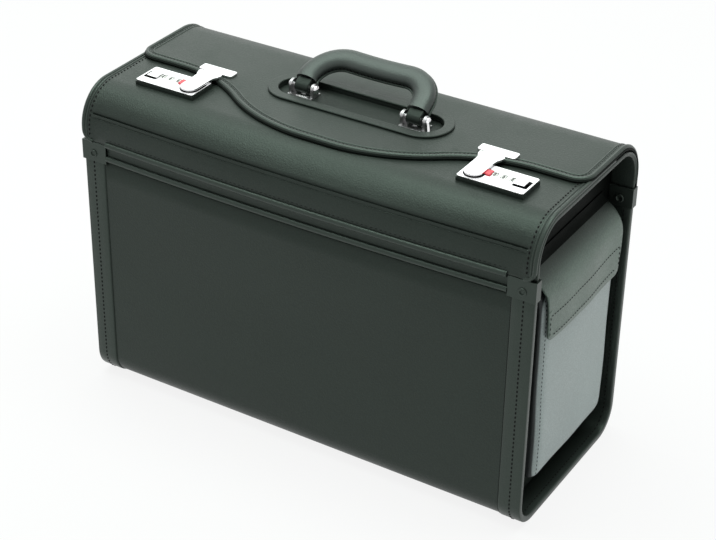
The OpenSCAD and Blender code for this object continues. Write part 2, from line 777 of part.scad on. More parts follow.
other_end() dial(2);  // left_dial_c
dial(0);  // right_dial_a
dial(1);  // right_dial_b
dial(2);  // right_dial_c
other_end() button();  // left_button
button();  // right_button
other_end() bolt();  // left_bolt
bolt();  // right_bolt
lock_indicators();
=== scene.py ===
import json
from math import asin, atan2, copysign, cos, pi, radians, sin

import bmesh
import bpy
from mathutils import Matrix, Vector, noise


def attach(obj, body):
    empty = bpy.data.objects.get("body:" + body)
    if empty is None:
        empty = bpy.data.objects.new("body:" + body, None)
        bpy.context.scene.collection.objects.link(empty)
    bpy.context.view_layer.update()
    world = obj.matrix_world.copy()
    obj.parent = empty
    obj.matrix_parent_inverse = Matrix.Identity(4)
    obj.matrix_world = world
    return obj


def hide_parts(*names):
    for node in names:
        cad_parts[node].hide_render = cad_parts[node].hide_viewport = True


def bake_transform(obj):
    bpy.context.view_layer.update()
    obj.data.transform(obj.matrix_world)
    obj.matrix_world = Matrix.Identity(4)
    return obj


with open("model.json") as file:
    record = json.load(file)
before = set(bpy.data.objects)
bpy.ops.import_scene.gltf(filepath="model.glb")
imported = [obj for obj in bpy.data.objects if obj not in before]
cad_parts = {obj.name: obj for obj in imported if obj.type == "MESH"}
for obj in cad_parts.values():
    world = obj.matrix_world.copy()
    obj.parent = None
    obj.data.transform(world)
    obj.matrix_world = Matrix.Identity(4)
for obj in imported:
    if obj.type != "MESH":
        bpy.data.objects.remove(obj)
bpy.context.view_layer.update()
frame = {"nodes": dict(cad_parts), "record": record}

mm = 0.001
scene = bpy.context.scene
scene.view_settings.view_transform = "Standard"
slotOf = {part["node"]: part["material_slot"] for part in frame["record"]["subparts"]}

longSteps = 26    # cuts along the long sheets


def metres(sizes, **others):
    # a piece's sizes are written in mm; angles, counts and shares stand apart
    if isinstance(sizes, dict):
        return {**{name: metres(size) for name, size in sizes.items()}, **others}
    return tuple(map(metres, sizes)) if isinstance(sizes, tuple) else sizes * mm


# the case's main sizes, which the pieces share
case = metres({
    "halfLength": 230,
    "halfDepth": 95,
    "middleZ": 150,
    "mouth": 241,        # top edge of the shell
    "lift": 0.8,         # the shell stands on its bindings
    "bottomRadius": 26,
    "wall": 4,
    "archHalf": 94.2,
    "archTop": 303,
    "archRadius": 32.5,
    "frontGrow": 3.5,    # outer face of the front flap over the arch
    "rearGrow": 7.0,     # outer face of the rear flap over the arch
    "flapLow": 259,      # lower edge of both flaps
    "flap": 3.2,
    "bead": 3.0,
    "beadHalf": 204.7,
    "lockX": 164.75,
    "lockY": -44.5,
})
archLevel = case["archTop"] - case["archRadius"]    # centre of the arch's corners
archFlat = case["archHalf"] - case["archRadius"]    # half of its flat top

# outer face of each flap over the arch, and how far the rear corner is drawn in to fit it
frontArch = (case["frontGrow"], 0.0)
rearArch = (case["rearGrow"], case["frontGrow"])


class Wire:
    # an output of a shader node, which can be added, subtracted and multiplied
    def __init__(self, finish, socket):
        self.finish = finish
        self.socket = socket

    def __add__(self, other):
        return self.finish.maths("ADD", self, other)

    __radd__ = __add__

    def __sub__(self, other):
        return self.finish.maths("SUBTRACT", self, other)

    def __mul__(self, other):
        return self.finish.maths("MULTIPLY", self, other)


looks = {}    # every material by its name


class Finish:
    def __init__(self, name, owner=None):
        self.name = name
        self.material = owner or bpy.data.materials.new(name)
        self.material.use_nodes = True
        self.tree = self.material.node_tree
        self.tree.nodes.clear()
        self.place = None if owner else self.node("ShaderNodeTexCoord", output="Object")

    def node(self, kind, inputs=None, output=0, **settings):
        made = self.tree.nodes.new(kind)
        for key, value in settings.items():
            setattr(made, key, value)
        for key, value in (inputs or {}).items():
            if isinstance(value, Wire):
                self.tree.links.new(value.socket, made.inputs[key])
            else:
                made.inputs[key].default_value = value
        return Wire(self, made.outputs[output]) if made.outputs else None

    def stretched(self, scale):
        return self.node("ShaderNodeMapping", {"Vector": self.place, "Scale": scale})

    def noise(self, scale, detail=2.0, rough=0.5, place=None):
        return self.node("ShaderNodeTexNoise", {"Vector": place or self.place, "Scale": scale,
                                                "Detail": detail, "Roughness": rough})

    def waves(self, scale, direction, distortion=0.0):
        return self.node("ShaderNodeTexWave", {"Vector": self.place, "Scale": scale,
                                               "Distortion": distortion}, bands_direction=direction)

    def spread(self, value, low, high):
        return self.node("ShaderNodeMapRange", {"Value": value, "From Min": low, "From Max": high},
                         interpolation_type="SMOOTHSTEP")

    def blend(self, mask, first, second):
        return self.node("ShaderNodeMix", {0: mask, 6: first, 7: second}, 2, data_type="RGBA")

    def bump(self, height, strength, distance):
        return self.node("ShaderNodeBump", {"Height": height, "Strength": strength, "Distance": distance})

    def maths(self, kind, first, second):
        return self.node("ShaderNodeMath", {0: first, 1: second}, operation=kind)

    def seen(self):
        # 1 where the eye looks straight, through glass or by way of a mirror
        rays = self.tree.nodes.new("ShaderNodeLightPath")
        return (Wire(self, rays.outputs["Is Camera Ray"]) + Wire(self, rays.outputs["Is Glossy Ray"])
                + Wire(self, rays.outputs["Is Transmission Ray"]))

    def surface(self, sockets):
        shader = self.node("ShaderNodeBsdfPrincipled", sockets)
        self.node("ShaderNodeOutputMaterial", {"Surface": shader})
        looks[self.name] = self.material


plainTint = (1.0, 1.0, 1.0)
coolTint = (0.79, 1.0, 0.87)


def grey(value, tint=plainTint):
    return (value * tint[0], value * tint[1], value * tint[2], 1.0)


def leather(name, dark, light, rough, grain=760, depth=0.35, creases=0.0, shine=0.4, tint=coolTint,
            fade=None):
    skin = Finish(name)
    handled = skin.spread(skin.noise(11, 4, 0.6), 0.35, 0.68)
    pebbles = skin.node("ShaderNodeTexVoronoi", {"Vector": skin.place, "Scale": grain}, "Distance",
                        feature="SMOOTH_F1")
    pores = skin.noise(grain * 3.1, 2)
    folds = skin.spread(skin.noise(34, 3, 0.55, skin.stretched((1.0, 1.6, 0.7))), 0.42, 0.62)
    height = pebbles * 0.9 + pores * 0.22 + folds * creases
    worn = skin.spread(pebbles, 0.1, 0.75)
    colour = skin.blend(handled, grey(dark, tint), grey(light, tint))
    colour = skin.blend(worn * 0.35, colour, grey(light * 1.5, tint))
    if fade:
        # painted shade: darker along one axis, where a piece runs into shade, such as a side in a recess or
        # a roll under an overhang
        along = skin.node("ShaderNodeSeparateXYZ", {"Vector": skin.place}, fade["axis"])
        reach = skin.maths("ABSOLUTE", along, 0.0)
        colour = skin.blend(skin.spread(reach, *fade["range"]), colour, grey(dark * fade["shade"], tint))
    skin.surface({
        "Base Color": colour,
        "Roughness": rough + handled * 0.09 - worn * 0.05,
        "Specular IOR Level": shine,
        "Specular Tint": grey(1.0, tint),
        "Normal": skin.bump(height, depth, 0.45 * mm),
    })


def thread(name, shade):
    yarn = Finish(name)
    twist = yarn.waves(900.0, "DIAGONAL", 2.0)
    yarn.surface({
        "Base Color": yarn.blend(twist, grey(shade), grey(shade * 1.9)),
        "Roughness": 0.7,
        "Specular IOR Level": 0.12,
        "Normal": yarn.bump(twist, 0.4, 0.1 * mm),
    })


def plated(name, shade, rough, brushed=0.0):
    metal = Finish(name)
    smears = metal.spread(metal.noise(60, 4, 0.62), 0.36, 0.7)
    lines = metal.noise(420, 3, 0.6, metal.stretched((0.06, 1.0, 1.0)))
    metal.surface({
        "Base Color": metal.blend(smears, grey(shade), grey(shade * 0.86, (1.0, 1.0, 1.02))),
        "Metallic": 1.0,
        "Roughness": rough + smears * 0.07 + lines * brushed,
        "Normal": metal.bump(lines, 0.05 + brushed * 0.3, 0.05 * mm),
    })


def coated(name, shade, rough, tint=coolTint, shine=0.5):
    paint = Finish(name)
    specks = paint.noise(900, 3)
    rubbed = paint.spread(paint.noise(70, 4, 0.6), 0.56, 0.72)
    paint.surface({
        "Base Color": paint.blend(rubbed, grey(shade, tint), grey(shade * 1.7, tint)),
        "Roughness": rough + specks * 0.1 - rubbed * 0.06,
        "Specular IOR Level": shine,
        "Specular Tint": grey(1.0, tint),
        "Normal": paint.bump(specks, 0.12, 0.1 * mm),
    })


def plastic(name, colour, faded, rough):
    shell = Finish(name)
    cloud = shell.spread(shell.noise(240, 3), 0.3, 0.7)
    shell.surface({
        "Base Color": shell.blend(cloud, colour, faded),
        "Roughness": rough + cloud * 0.08,
        "Normal": shell.bump(shell.noise(1500, 2), 0.06, 0.05 * mm),
    })


def cloth(name, dark, light):
    woven = Finish(name)
    weave = woven.waves(330.0, "X") * 0.34 + woven.waves(330.0, "Z") * 0.33 + woven.waves(330.0, "Y") * 0.33
    fuzz = woven.noise(120, 4)
    woven.surface({
        "Base Color": woven.blend(weave * 0.7 + fuzz * 0.3, grey(dark), grey(light)),
        "Roughness": 0.82 + fuzz * 0.1,
        "Normal": woven.bump(weave, 0.5, 0.3 * mm),
    })


# the record's material slots
leather("leather", 0.014, 0.020, 0.40, shine=0.34)
leather("binding", 0.018, 0.025, 0.36, 980, 0.26, shine=0.46)
# pocket flaps: painted light, much lighter than the case's leather for the lit ends; painted shade, darker
# upwards from 228 to 250 mm on the roll under the arch
leather("pocket_leather", 0.14, 0.18, 0.42, 700, 0.34, 0.5,
        fade={"axis": 2, "range": (228 * mm, 250 * mm), "shade": 0.05})
coated("black_metal", 0.020, 0.30)
plated("chrome", 0.90, 0.09)
plated("steel", 0.66, 0.22, 0.14)
plastic("dial_plastic", (0.80, 0.80, 0.78, 1.0), (0.72, 0.71, 0.68, 1.0), 0.30)
plastic("red_plastic", (0.78, 0.05, 0.08, 1.0), (0.66, 0.06, 0.08, 1.0), 0.28)
cloth("lining_cloth", 0.022, 0.045)
cloth("board", 0.028, 0.052)
# variants for single pieces
# painted light: a lighter, shinier copy of the leather for the grip, which stands in the light
leather("grip_lit_leather", 0.027, 0.035, 0.42, 880, 0.30, shine=0.6, tint=(0.86, 1.0, 0.93))
# a darker, duller leather: the handle loops are made of it, and on the slot's sleeve and bed and on the
# binding folds it is painted shade
leather("darker_leather_and_shade", 0.012, 0.017, 0.5, 700, 0.3, shine=0.25)
# painted shade on the end panels: darker upwards from 205 to 245 mm, into the shade under the arch; the
# pocket flaps' tape above is fully dark
leather("panel_leather", 0.018, 0.024, 0.6, 700, 0.3, shine=0.08,
        fade={"axis": 2, "range": (205 * mm, 245 * mm), "shade": 0.05})
# painted light: a still lighter copy of the pocket leather for the pouch fronts, which face the light;
# painted shade darkens the gussets, from 223.6 mm inwards
leather("pouch_lit_leather", 0.39, 0.43, 0.46, 900, 0.30, 0.2, tint=(0.90, 1.0, 1.0),
        fade={"axis": 0, "range": (223.6 * mm, 222.2 * mm), "shade": 0.03})
thread("thread", 0.005)
coated("dial_ink", 0.012, 0.45, plainTint)
# near-black, almost without shine: painted shadow and dark reflection, for the locks' side walls and under
# the hasps' ends
coated("lock_skirt", 0.003, 0.6, plainTint, 0.06)
# near-black leather: painted shadow under the rear flap's front bead
leather("painted_shadow_leather", 0.004, 0.006, 0.6, 700, 0.2, shine=0.08)
plated("lock_cover_metal", 0.93, 0.16, 0.05)
# painted shade: a darker copy of the chrome for the handle brackets, dark as they reflect the dark case
plated("bracket_shaded_chrome", 0.42, 0.30, 0.05)
slotOfVariant = {"darker_leather_and_shade": "leather", "panel_leather": "leather", "painted_shadow_leather": "leather",
                 "thread": "binding", "dial_ink": "dial_plastic", "lock_skirt": "black_metal"}
print("materials made:", len(bpy.data.materials))


def evenly(low, high, count):
    return [low + (high - low) * i / count for i in range(count + 1)]


def shifted(points, aside):
    return [(aside + a, b) for a, b in points]


def smooth(value, low, high):
    t = min(1.0, max(0.0, (value - low) / (high - low)))
    return t * t * (3 - 2 * t)


def arc(cx, cy, radius, start, end, count):
    return [(cx + radius * cos(radians(a)), cy + radius * sin(radians(a)))
            for a in evenly(start, end, count)]


def lockShape(side, shape, count, shift=0.0):
    # a rounded rectangle, placed from the middle of a lock, outwards and backwards
    x, y, width, depth, radius = shape
    points = []
    for sx, sy, start in ((1, 1, 0), (-1, 1, 90), (-1, -1, 180), (1, -1, 270)):
        points += arc(side * (case["lockX"] + x + shift) + sx * (width / 2 - radius),
                      case["lockY"] + y + sy * (depth / 2 - radius), radius, start, start + 90, count)
    return points


def lengths(points):
    runs = [0.0]
    for before, after in zip(points, points[1:]):
        runs.append(runs[-1] + (after - before).length)
    return runs


def placed(name, data):
    made = bpy.data.objects.new(name, data)
    scene.collection.objects.link(made)
    return made


def finishPiece(name, bm, look, body, nodes=(), slot=None, angle=35, recalc=True):
    bm.normal_update()
    if recalc:
        bmesh.ops.recalc_face_normals(bm, faces=bm.faces[:])
    mesh = bpy.data.meshes.new(name)
    bm.to_mesh(mesh)
    bm.free()
    mesh.shade_smooth()
    mesh.set_sharp_from_angle(angle=radians(angle))
    mesh.materials.append(looks[look])
    piece = placed(name, mesh)
    if body:
        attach(piece, body)
    if nodes:
        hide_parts(*nodes)
        slot = slotOf[nodes[0]]
    slot or slotOfVariant.get(look, look)
    return piece


def thicken(piece, thickness):
    wall = piece.modifiers.new("wall", "SOLIDIFY")
    wall.thickness = thickness
    wall.offset = -1.0
    wall.use_even_offset = True
    return piece


def soften(piece, width, segments=2, angle=40):
    edge = piece.modifiers.new("edge", "BEVEL")
    edge.width = width
    edge.segments = segments
    edge.limit_method = "ANGLE"
    edge.angle_limit = radians(angle)
    return piece


def fromMiddle(point):
    return Vector((0, point.y, point.z - case["middleZ"]))


def facing(bm, away):
    # turns all faces the way that most of them should look
    bm.normal_update()
    if sum(face.normal.dot(away(face.calc_center_median())) for face in bm.faces) < 0:
        bmesh.ops.reverse_faces(bm, faces=bm.faces[:])
    return bm


def bentSheet(name, bm, look, body, node, thickness, away=fromMiddle, angle=60):
    # an open surface, thickened inwards
    piece = finishPiece(name, facing(bm, away), look, body, (node,), recalc=False, angle=angle)
    return thicken(piece, thickness)


def filled(outline, holes=(), z=0.0):
    # a flat face with holes
    bm = bmesh.new()
    for loop in (outline, *holes):
        verts = [bm.verts.new((x, y, z)) for x, y in loop]
        for first, second in zip(verts, verts[1:] + verts[:1]):
            bm.edges.new((first, second))
    bmesh.ops.triangle_fill(bm, use_beauty=True, use_dissolve=False, edges=bm.edges[:], normal=(0, 0, 1))
    return bm


def slab(outline, holes, low, height):
    bm = filled(outline, holes, low)
    made = bmesh.ops.extrude_face_region(bm, geom=bm.faces[:])["geom"]
    top = [g for g in made if isinstance(g, bmesh.types.BMVert)]
    bmesh.ops.translate(bm, verts=top, vec=(0, 0, height))
    return bm


def block(bm, middle, size):
    bmesh.ops.create_cube(bm, size=1, matrix=Matrix.Translation(middle) @ Matrix.Diagonal((*size, 1)))
    return bm


def drawn(bm, edges, move):
    # extrudes a line of edges, moves the new one and gives its edges
    made = bmesh.ops.extrude_edge_only(bm, edges=edges)["geom"]
    fresh = {g for g in made if isinstance(g, bmesh.types.BMVert)}
    bmesh.ops.transform(bm, matrix=move, verts=list(fresh))
    return [g for g in made if isinstance(g, bmesh.types.BMEdge) and fresh.issuperset(g.verts)]


def ribbon(profile, start, end, count):
    # a line in the Y-Z plane, drawn out along X
    bm = bmesh.new()
    verts = [bm.verts.new((start, y, z)) for y, z in profile]
    row = [bm.edges.new(pair) for pair in zip(verts, verts[1:])]
    for _ in range(count):
        row = drawn(bm, row, Matrix.Translation(((end - start) / count, 0, 0)))
    return bm


def sweep(bm, ring, frames):
    # a closed line of edges, drawn through a row of frames; gives its two ends
    first = ring
    for before, after in zip(frames, frames[1:]):
        ring = drawn(bm, ring, after @ before.inverted())
    return first, ring


def axes(across, up, along, point):
    turn = Matrix((across, up, along)).transposed().to_4x4()
    turn.translation = point
    return turn


def tube(bm, path, radius, sides=10):
    # a round bead along a line of points
    points = [Vector(p) for p in path]
    frames = []
    up = Vector((0.13, 0.21, 0.97))    # no bead starts along this
    for i, point in enumerate(points):
        ahead, behind = points[min(i + 1, len(points) - 1)], points[max(i - 1, 0)]
        along = (ahead - behind).normalized()
        across = along.cross(up).normalized()
        up = across.cross(along).normalized()
        frames.append(axes(across, up, along, point))
    made = bmesh.ops.create_circle(bm, segments=sides, radius=radius, matrix=frames[0])
    ring = list(dict.fromkeys(e for v in made["verts"] for e in v.link_edges))
    for end in sweep(bm, ring, frames):
        bmesh.ops.edgeloop_fill(bm, edges=end)
    return bm


threadOut = 0.1 * mm    # how far a stitch stands out
# pitch, length and thickness of each kind of seam
seams = metres({
    "binding": (4.4, 2.9, 0.8),
    "lining": (4.6, 3.0, 0.62),
    "flapSide": (4.4, 2.9, 0.85),
    "flapEdge": (3.6, 2.6, 0.36),
    "flapHem": (4.6, 3.0, 0.22),
    "grip": (3.6, 2.3, 0.45),
    "pocket": (4.2, 2.8, 0.5),
})


def stitch(bm, path, normalAt, kind):
    pitch, long, thick = seams[kind]
    runs = lengths(path)
    count = int(runs[-1] / pitch)
    k = 0
    for i in range(count):
        at = (i + 0.5) * runs[-1] / count
        while runs[k + 1] < at:
            k += 1
        spot = path[k].lerp(path[k + 1], (at - runs[k]) / (runs[k + 1] - runs[k]))
        along = (path[k + 1] - path[k]).normalized()
        normal = normalAt(spot)
        turn = axes(along, normal.cross(along).normalized(), normal, spot + normal * threadOut)
        bmesh.ops.create_icosphere(bm, subdivisions=1, radius=1,
                                   matrix=turn @ Matrix.Diagonal((long / 2, thick, thick * 0.7, 1)))


def cutAcross(bm, axis, places):
    for place in places:
        middle = Vector((0, 0, 0))
        normal = Vector((0, 0, 0))
        middle[axis] = place
        normal[axis] = 1
        bmesh.ops.bisect_plane(bm, geom=bm.verts[:] + bm.edges[:] + bm.faces[:], dist=1e-7,
                               plane_co=middle, plane_no=normal)


def reshape(bm, move):
    for vert in bm.verts:
        vert.co = move(vert.co)


def laid(place, points):
    # flat points, put where their sheet is bent to
    return [place(Vector((x, s, 0))) for x, s in points]


def mirrored(bm, side):
    if side < 0:
        bmesh.ops.scale(bm, verts=bm.verts[:], vec=(-1, 1, 1))
        bmesh.ops.reverse_faces(bm, faces=bm.faces[:])
    return bm


def dressed(node, width, look=None):
    # a CAD node with its edges eased
    bm = bmesh.new()
    bm.from_mesh(frame["nodes"][node].data)
    bmesh.ops.remove_doubles(bm, verts=bm.verts[:], dist=0.004 * mm)
    bmesh.ops.dissolve_limit(bm, angle_limit=radians(1), verts=bm.verts[:], edges=bm.edges[:])
    body = next(name for name, members in frame["record"]["behaviour"]["bodies"].items() if node in members)
    piece = finishPiece(node + "_eased", bm, look or slotOf[node], body, (node,))
    if width:
        soften(piece, width, 3, 30)


for node, part in frame["nodes"].items():
    part.data.materials.clear()
    part.data.materials.append(looks[slotOf[node]])

# the front bows out between the stiff ends; the rear is flat, so that its flap can hang against it
bow = metres({"most": 4.6, "rises": (120, 236), "falls": (280, 306), "fadesIn": (60, 88)})


def swell(point):
    if point.y > 0:
        return point.copy()
    along = max(0.0, 1 - (point.x / case["beadHalf"]) ** 2)
    rise = smooth(point.z, *bow["rises"]) * (1 - smooth(point.z, *bow["falls"]))
    push = bow["most"] * along * rise * smooth(abs(point.y), *bow["fadesIn"])
    return Vector((point.x, point.y - push, point.z))


def archPoint(s, grow, rearIn=0.0):
    # s runs along the arch from its top middle, to the front where it is negative
    side = -1.0 if s < 0 else 1.0
    flat = archFlat - (rearIn if s > 0 else 0.0)
    radius = case["archRadius"] + grow
    along = abs(s)
    if along <= flat:
        return side * along, archLevel + radius
    turn = (along - flat) / radius
    if turn <= pi / 2:
        return side * (flat + radius * sin(turn)), archLevel + radius * cos(turn)
    return side * (flat + radius), archLevel - (turn - pi / 2) * radius


def archEnd(height, grow, rearIn=0.0):
    # how far along the arch a given height of its upright side lies
    return archFlat - rearIn + (case["archRadius"] + grow) * pi / 2 + archLevel - height


def archLine(low, grow, count):
    reach = archEnd(low, 0.0)
    return [archPoint(s, grow) for s in evenly(-reach, reach, count)]


def archCuts(grow, rearIn=0.0):
    # places that give the rounded corners 12 steps each
    bend = (case["archRadius"] + grow) * pi / 2
    cuts = []
    for side in (-1, 1):
        flat = archFlat - (rearIn if side > 0 else 0.0)
        cuts += [side * (flat + s) for s in evenly(0, bend, 12) + [bend + 4 * mm]]
    return cuts


def uProfile(out, top, straight=10):
    half = case["halfDepth"] + out
    radius = case["bottomRadius"] + out
    low = case["lift"] - out
    right = [(half, z) for z in evenly(top, low + radius, straight)[:-1]]
    right += arc(half - radius, low + radius, radius, 0, -90, 10)
    return [(-y, z) for y, z in right] + [(y, z) for y, z in reversed(right)]


def outFromShell(spot):
    # straight out of the U's nearest stretch
    inner = case["halfDepth"] - case["bottomRadius"]
    low = case["lift"] + case["bottomRadius"]
    if spot.z > low:
        return Vector((0, copysign(1, spot.y), 0))
    return Vector((0, spot.y - max(-inner, min(inner, spot.y)), spot.z - low)).normalized()


sides = ((-1, "left"), (1, "right"))

# shell, bindings and recessed ends
shell = metres({
    "halfLong": 229.4,
    "bindingIn": 208.6, "bindingOut": 230.2, "bindingTop": 241.6, "bindingRaise": 0.95, "bindingRound": 1.2,
    "seamX": 220, "seamTop": 238, "liningSeamX": 223.5, "liningSeamTop": 236,
    "foldX": 208.3, "foldTop": 240, "foldOut": 0.1, "fold": 0.55,
    "bandIn": 208.1, "bandOut": 230.2, "bandLow": 243, "band": 3.5, "bandRound": 0.9,
    "edgeX": 229.6, "edgeLow": 262, "edgeSunk": -0.3, "edge": 1.3,
})

bm = ribbon(uProfile(0.0, case["mouth"]), -shell["halfLong"], shell["halfLong"], longSteps)
reshape(bm, swell)
bentSheet("shell_cover", bm, "leather", "case", "outer_shell", case["wall"])

caseThread = bmesh.new()
folds = bmesh.new()
raised = shell["bindingRaise"]
for side, word in sides:
    bm = ribbon(uProfile(raised, shell["bindingTop"]), shell["bindingIn"], shell["bindingOut"], 3)
    tape = bentSheet(word + "_binding", mirrored(bm, side), "binding", "case", word + "_edge_binding",
                     case["wall"] + 2 * raised)
    soften(tape, shell["bindingRound"], 3)

    def around(x, out, top):
        return [Vector((side * x, y, z)) for y, z in uProfile(out, top, 20)]

    stitch(caseThread, around(shell["seamX"], raised, shell["seamTop"]), outFromShell, "binding")
    fold = around(shell["foldX"], shell["foldOut"], shell["foldTop"])
    tube(folds, map(swell, fold), shell["fold"], 6)
    inside = around(shell["liningSeamX"], -case["wall"] - raised, shell["liningSeamTop"])
    stitch(caseThread, inside, lambda spot: -outFromShell(spot), "lining")

    dressed(word + "_end_panel", 0, "panel_leather")
    bm = ribbon(archLine(shell["bandLow"], 0.0, 60), shell["bandIn"], shell["bandOut"], 2)
    band = bentSheet(word + "_arch_cover", mirrored(bm, side), "leather", "case", word + "_arch_band",
                     shell["band"])
    soften(band, shell["bandRound"], 3)
    rim = [(side * shell["edgeX"], y, z) for y, z in archLine(shell["edgeLow"], shell["edgeSunk"], 80)]
    bm = tube(bmesh.new(), rim, shell["edge"], 8)
    finishPiece(word + "_arch_edge", bm, "binding", "case", slot="leather")
finishPiece("case_thread", caseThread, "thread", "case")
# the binding folds in the darker leather: painted shade along the bindings' inner edges
finishPiece("binding_folds", folds, "darker_leather_and_shade", "case")


def bead(bm, y, z, half):
    return tube(bm, [swell(Vector((x, y, z))) for x in evenly(-half, half, 30)], case["bead"], 12)


# hinge valleys and beads along the mouth
valley = metres({
    "line": ((94.4, 240), (95.1, 245), (94.9, 250), (95.7, 255), (95.4, 261)),
    "halfLong": 204.9, "thick": 1.4, "bendY": 95, "bendLow": 244, "bendHigh": 257.5,
    "beadY": 95.4, "beadOver": 2.5,
})

for side, word in ((-1, "front"), (1, "rear")):
    line = [(side * y, z) for y, z in valley["line"]]
    bm = ribbon(line, -valley["halfLong"], valley["halfLong"], longSteps)
    upright = [e for e in bm.edges if abs(e.verts[0].co.z - e.verts[1].co.z) > mm]
    bmesh.ops.subdivide_edges(bm, edges=upright, cuts=2)
    reshape(bm, swell)
    facing(bm, lambda point: Vector((0, point.y, 0)))
    bmesh.ops.solidify(bm, geom=bm.faces[:], thickness=valley["thick"])
    strip = finishPiece(word + "_valley", bm, "leather", None, (word + "_hinge_strip",), angle=80)
    side * valley["bendY"]
    side * valley["bendY"]
    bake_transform(strip)
beads = bmesh.new()
for side in (-1, 1):
    bead(beads, side * valley["beadY"], case["mouth"] + valley["beadOver"], case["beadHalf"])
finishPiece("mouth_beads", beads, "binding", "case", ("mouth_piping",))
for word in ("front_left", "front_right", "rear_left", "rear_right"):
    dressed(word + "_bracket", 0.5 * mm)
print("shell made")

# corner rivets: half a section of the hollow head, spun round
rivet = metres({
    "x": 219, "z": 246, "face": 97.4, "back": 88.6,
    "section": ((4.0, -0.3), (4.0, 0.5), (3.6, 1.0), (2.9, 1.1), (2.3, 0.7), (2.0, -0.2), (0.0, -0.3)),
})

bm = bmesh.new()
for sx in (-1, 1):
    for sy in (-1, 1):
        for reach, out in ((rivet["face"], 1), (rivet["back"], -1)):
            earlier = set(bm.verts)
            verts = [bm.verts.new((x, 0, z)) for x, z in rivet["section"]]
            edges = [bm.edges.new(pair) for pair in zip(verts, verts[1:])]
            bmesh.ops.spin(bm, geom=verts + edges, cent=(0, 0, 0), axis=(0, 0, 1), angle=2 * pi,
                           steps=24, use_merge=True)
            turn = Matrix.Translation((sx * rivet["x"], sy * reach, rivet["z"]))
            turn = turn @ Matrix.Rotation(-sy * out * pi / 2, 4, "X")
            bmesh.ops.transform(bm, matrix=turn, verts=[v for v in bm.verts if v not in earlier])
bmesh.ops.remove_doubles(bm, verts=bm.verts[:], dist=0.01 * mm)
finishPiece("corner_rivets", bm, "black_metal", "case", ("bracket_rivets",))

# flaps, drawn flat: x is along the case, s along the arch
flap = metres({
    "sideIn": 0.5, "seam": 286,    # height of the sewn seam above the hinge
    "seamEnds": (219, 221), "endCuts": (218.9, 221.1), "groove": 1.5, "grooveHalf": 1.2,
    "lip": 1.1, "lipAt": 2.3, "lipHalf": 1.6, "below": 0.5,
    "seamCuts": (-1.2, -0.6, 0.0, 0.6, 1.2, 1.7, 2.3, 3.1, 3.9, 5.0),
    "beadY": 96.6, "beadZ": 258.2, "beadIn": 0.5, "hemIn": 5.5,
})
frontFlap = metres({
    "reach": 45, "corner": 10, "lockHole": (0, 0, 57.4, 23.8, 1),
    "edgeIn": 1.0, "edgeSunk": -0.9, "edge": 2.1,
    "foldX": 225.2, "foldSunk": -0.3, "fold": 1.0, "threadX": 221.8, "threadFrom": 4,
})


width = case["halfLength"] - flap["sideIn"]


def seamPlace(grow, rearIn):
    # where along the arch the seam above the hinge lies
    radius = case["archRadius"] + grow
    turn = pi / 2 - asin((flap["seam"] - archLevel) / radius)
    return archFlat - rearIn + radius * turn


def seamDepth(past, x):
    # a groove with a small lip under it, that ends before the side binding
    ends = 1 - smooth(abs(x), *flap["seamEnds"])
    groove = max(0.0, 1 - abs(past) / flap["grooveHalf"])
    lip = max(0.0, 1 - abs(past - flap["lipAt"]) / flap["lipHalf"])
    lower = smooth(past, 0, flap["grooveHalf"])
    return ends * (flap["lip"] * lip - flap["groove"] * groove - flap["below"] * lower)


def onFlap(side, out=0.0):
    # bends a flat point over the arch, onto the front flap or the rear one
    grow, rearIn = rearArch if side > 0 else frontArch
    seam = seamPlace(grow, rearIn)

    def place(point):
        step = seamDepth(side * point.y - seam, point.x)
        y, z = archPoint(point.y, grow + out + step, rearIn)
        return swell(Vector((point.x, y, z)))
    return place


def outOfFlap(spot):
    flat = archFlat - 2 * mm
    if spot.z < archLevel:
        return Vector((0, copysign(1, spot.y), 0))
    if abs(spot.y) < flat - 1 * mm:
        return Vector((0, 0, 1))
    return Vector((0, spot.y - copysign(flat, spot.y), spot.z - archLevel)).normalized()


def flapCover(word, side, outline, holes, cuts):
    over = rearArch if side > 0 else frontArch
    bm = filled(outline, holes)
    cutAcross(bm, 0, evenly(-width, width, longSteps)[1:-1])
    cutAcross(bm, 0, [s * x for s in (-1, 1) for x in flap["endCuts"]])
    cutAcross(bm, 1, archCuts(*over) + cuts + [side * (seamPlace(*over) + a) for a in flap["seamCuts"]])
    reshape(bm, onFlap(side))
    sheet = bentSheet(word + "_flap_cover", bm, "leather", word + "_lid", word + "_flap", case["flap"])
    # slivers along a cut edge then don't spoil the shading
    weights = sheet.modifiers.new("even", "WEIGHTED_NORMAL")
    weights.keep_sharp = True
    weights.weight = 60


def hemRow(side, s):
    return laid(onFlap(side), [(x, s) for x in evenly(-case["beadHalf"], case["beadHalf"], 40)])


lowFront = -archEnd(case["flapLow"], *frontArch)
reach = frontFlap["reach"]
corner = frontFlap["corner"]
edgeIn = frontFlap["edgeIn"]
low = lowFront + corner
outline = ([(width, reach), (-width, reach)] + arc(-width + corner, low, corner, 180, 270, 6)
           + arc(width - corner, low, corner, 270, 360, 6))
flapCover("front", -1, outline, [lockShape(side, frontFlap["lockHole"], 3) for side in (-1, 1)],
          evenly(-case["archHalf"], reach, 9)[1:-1])

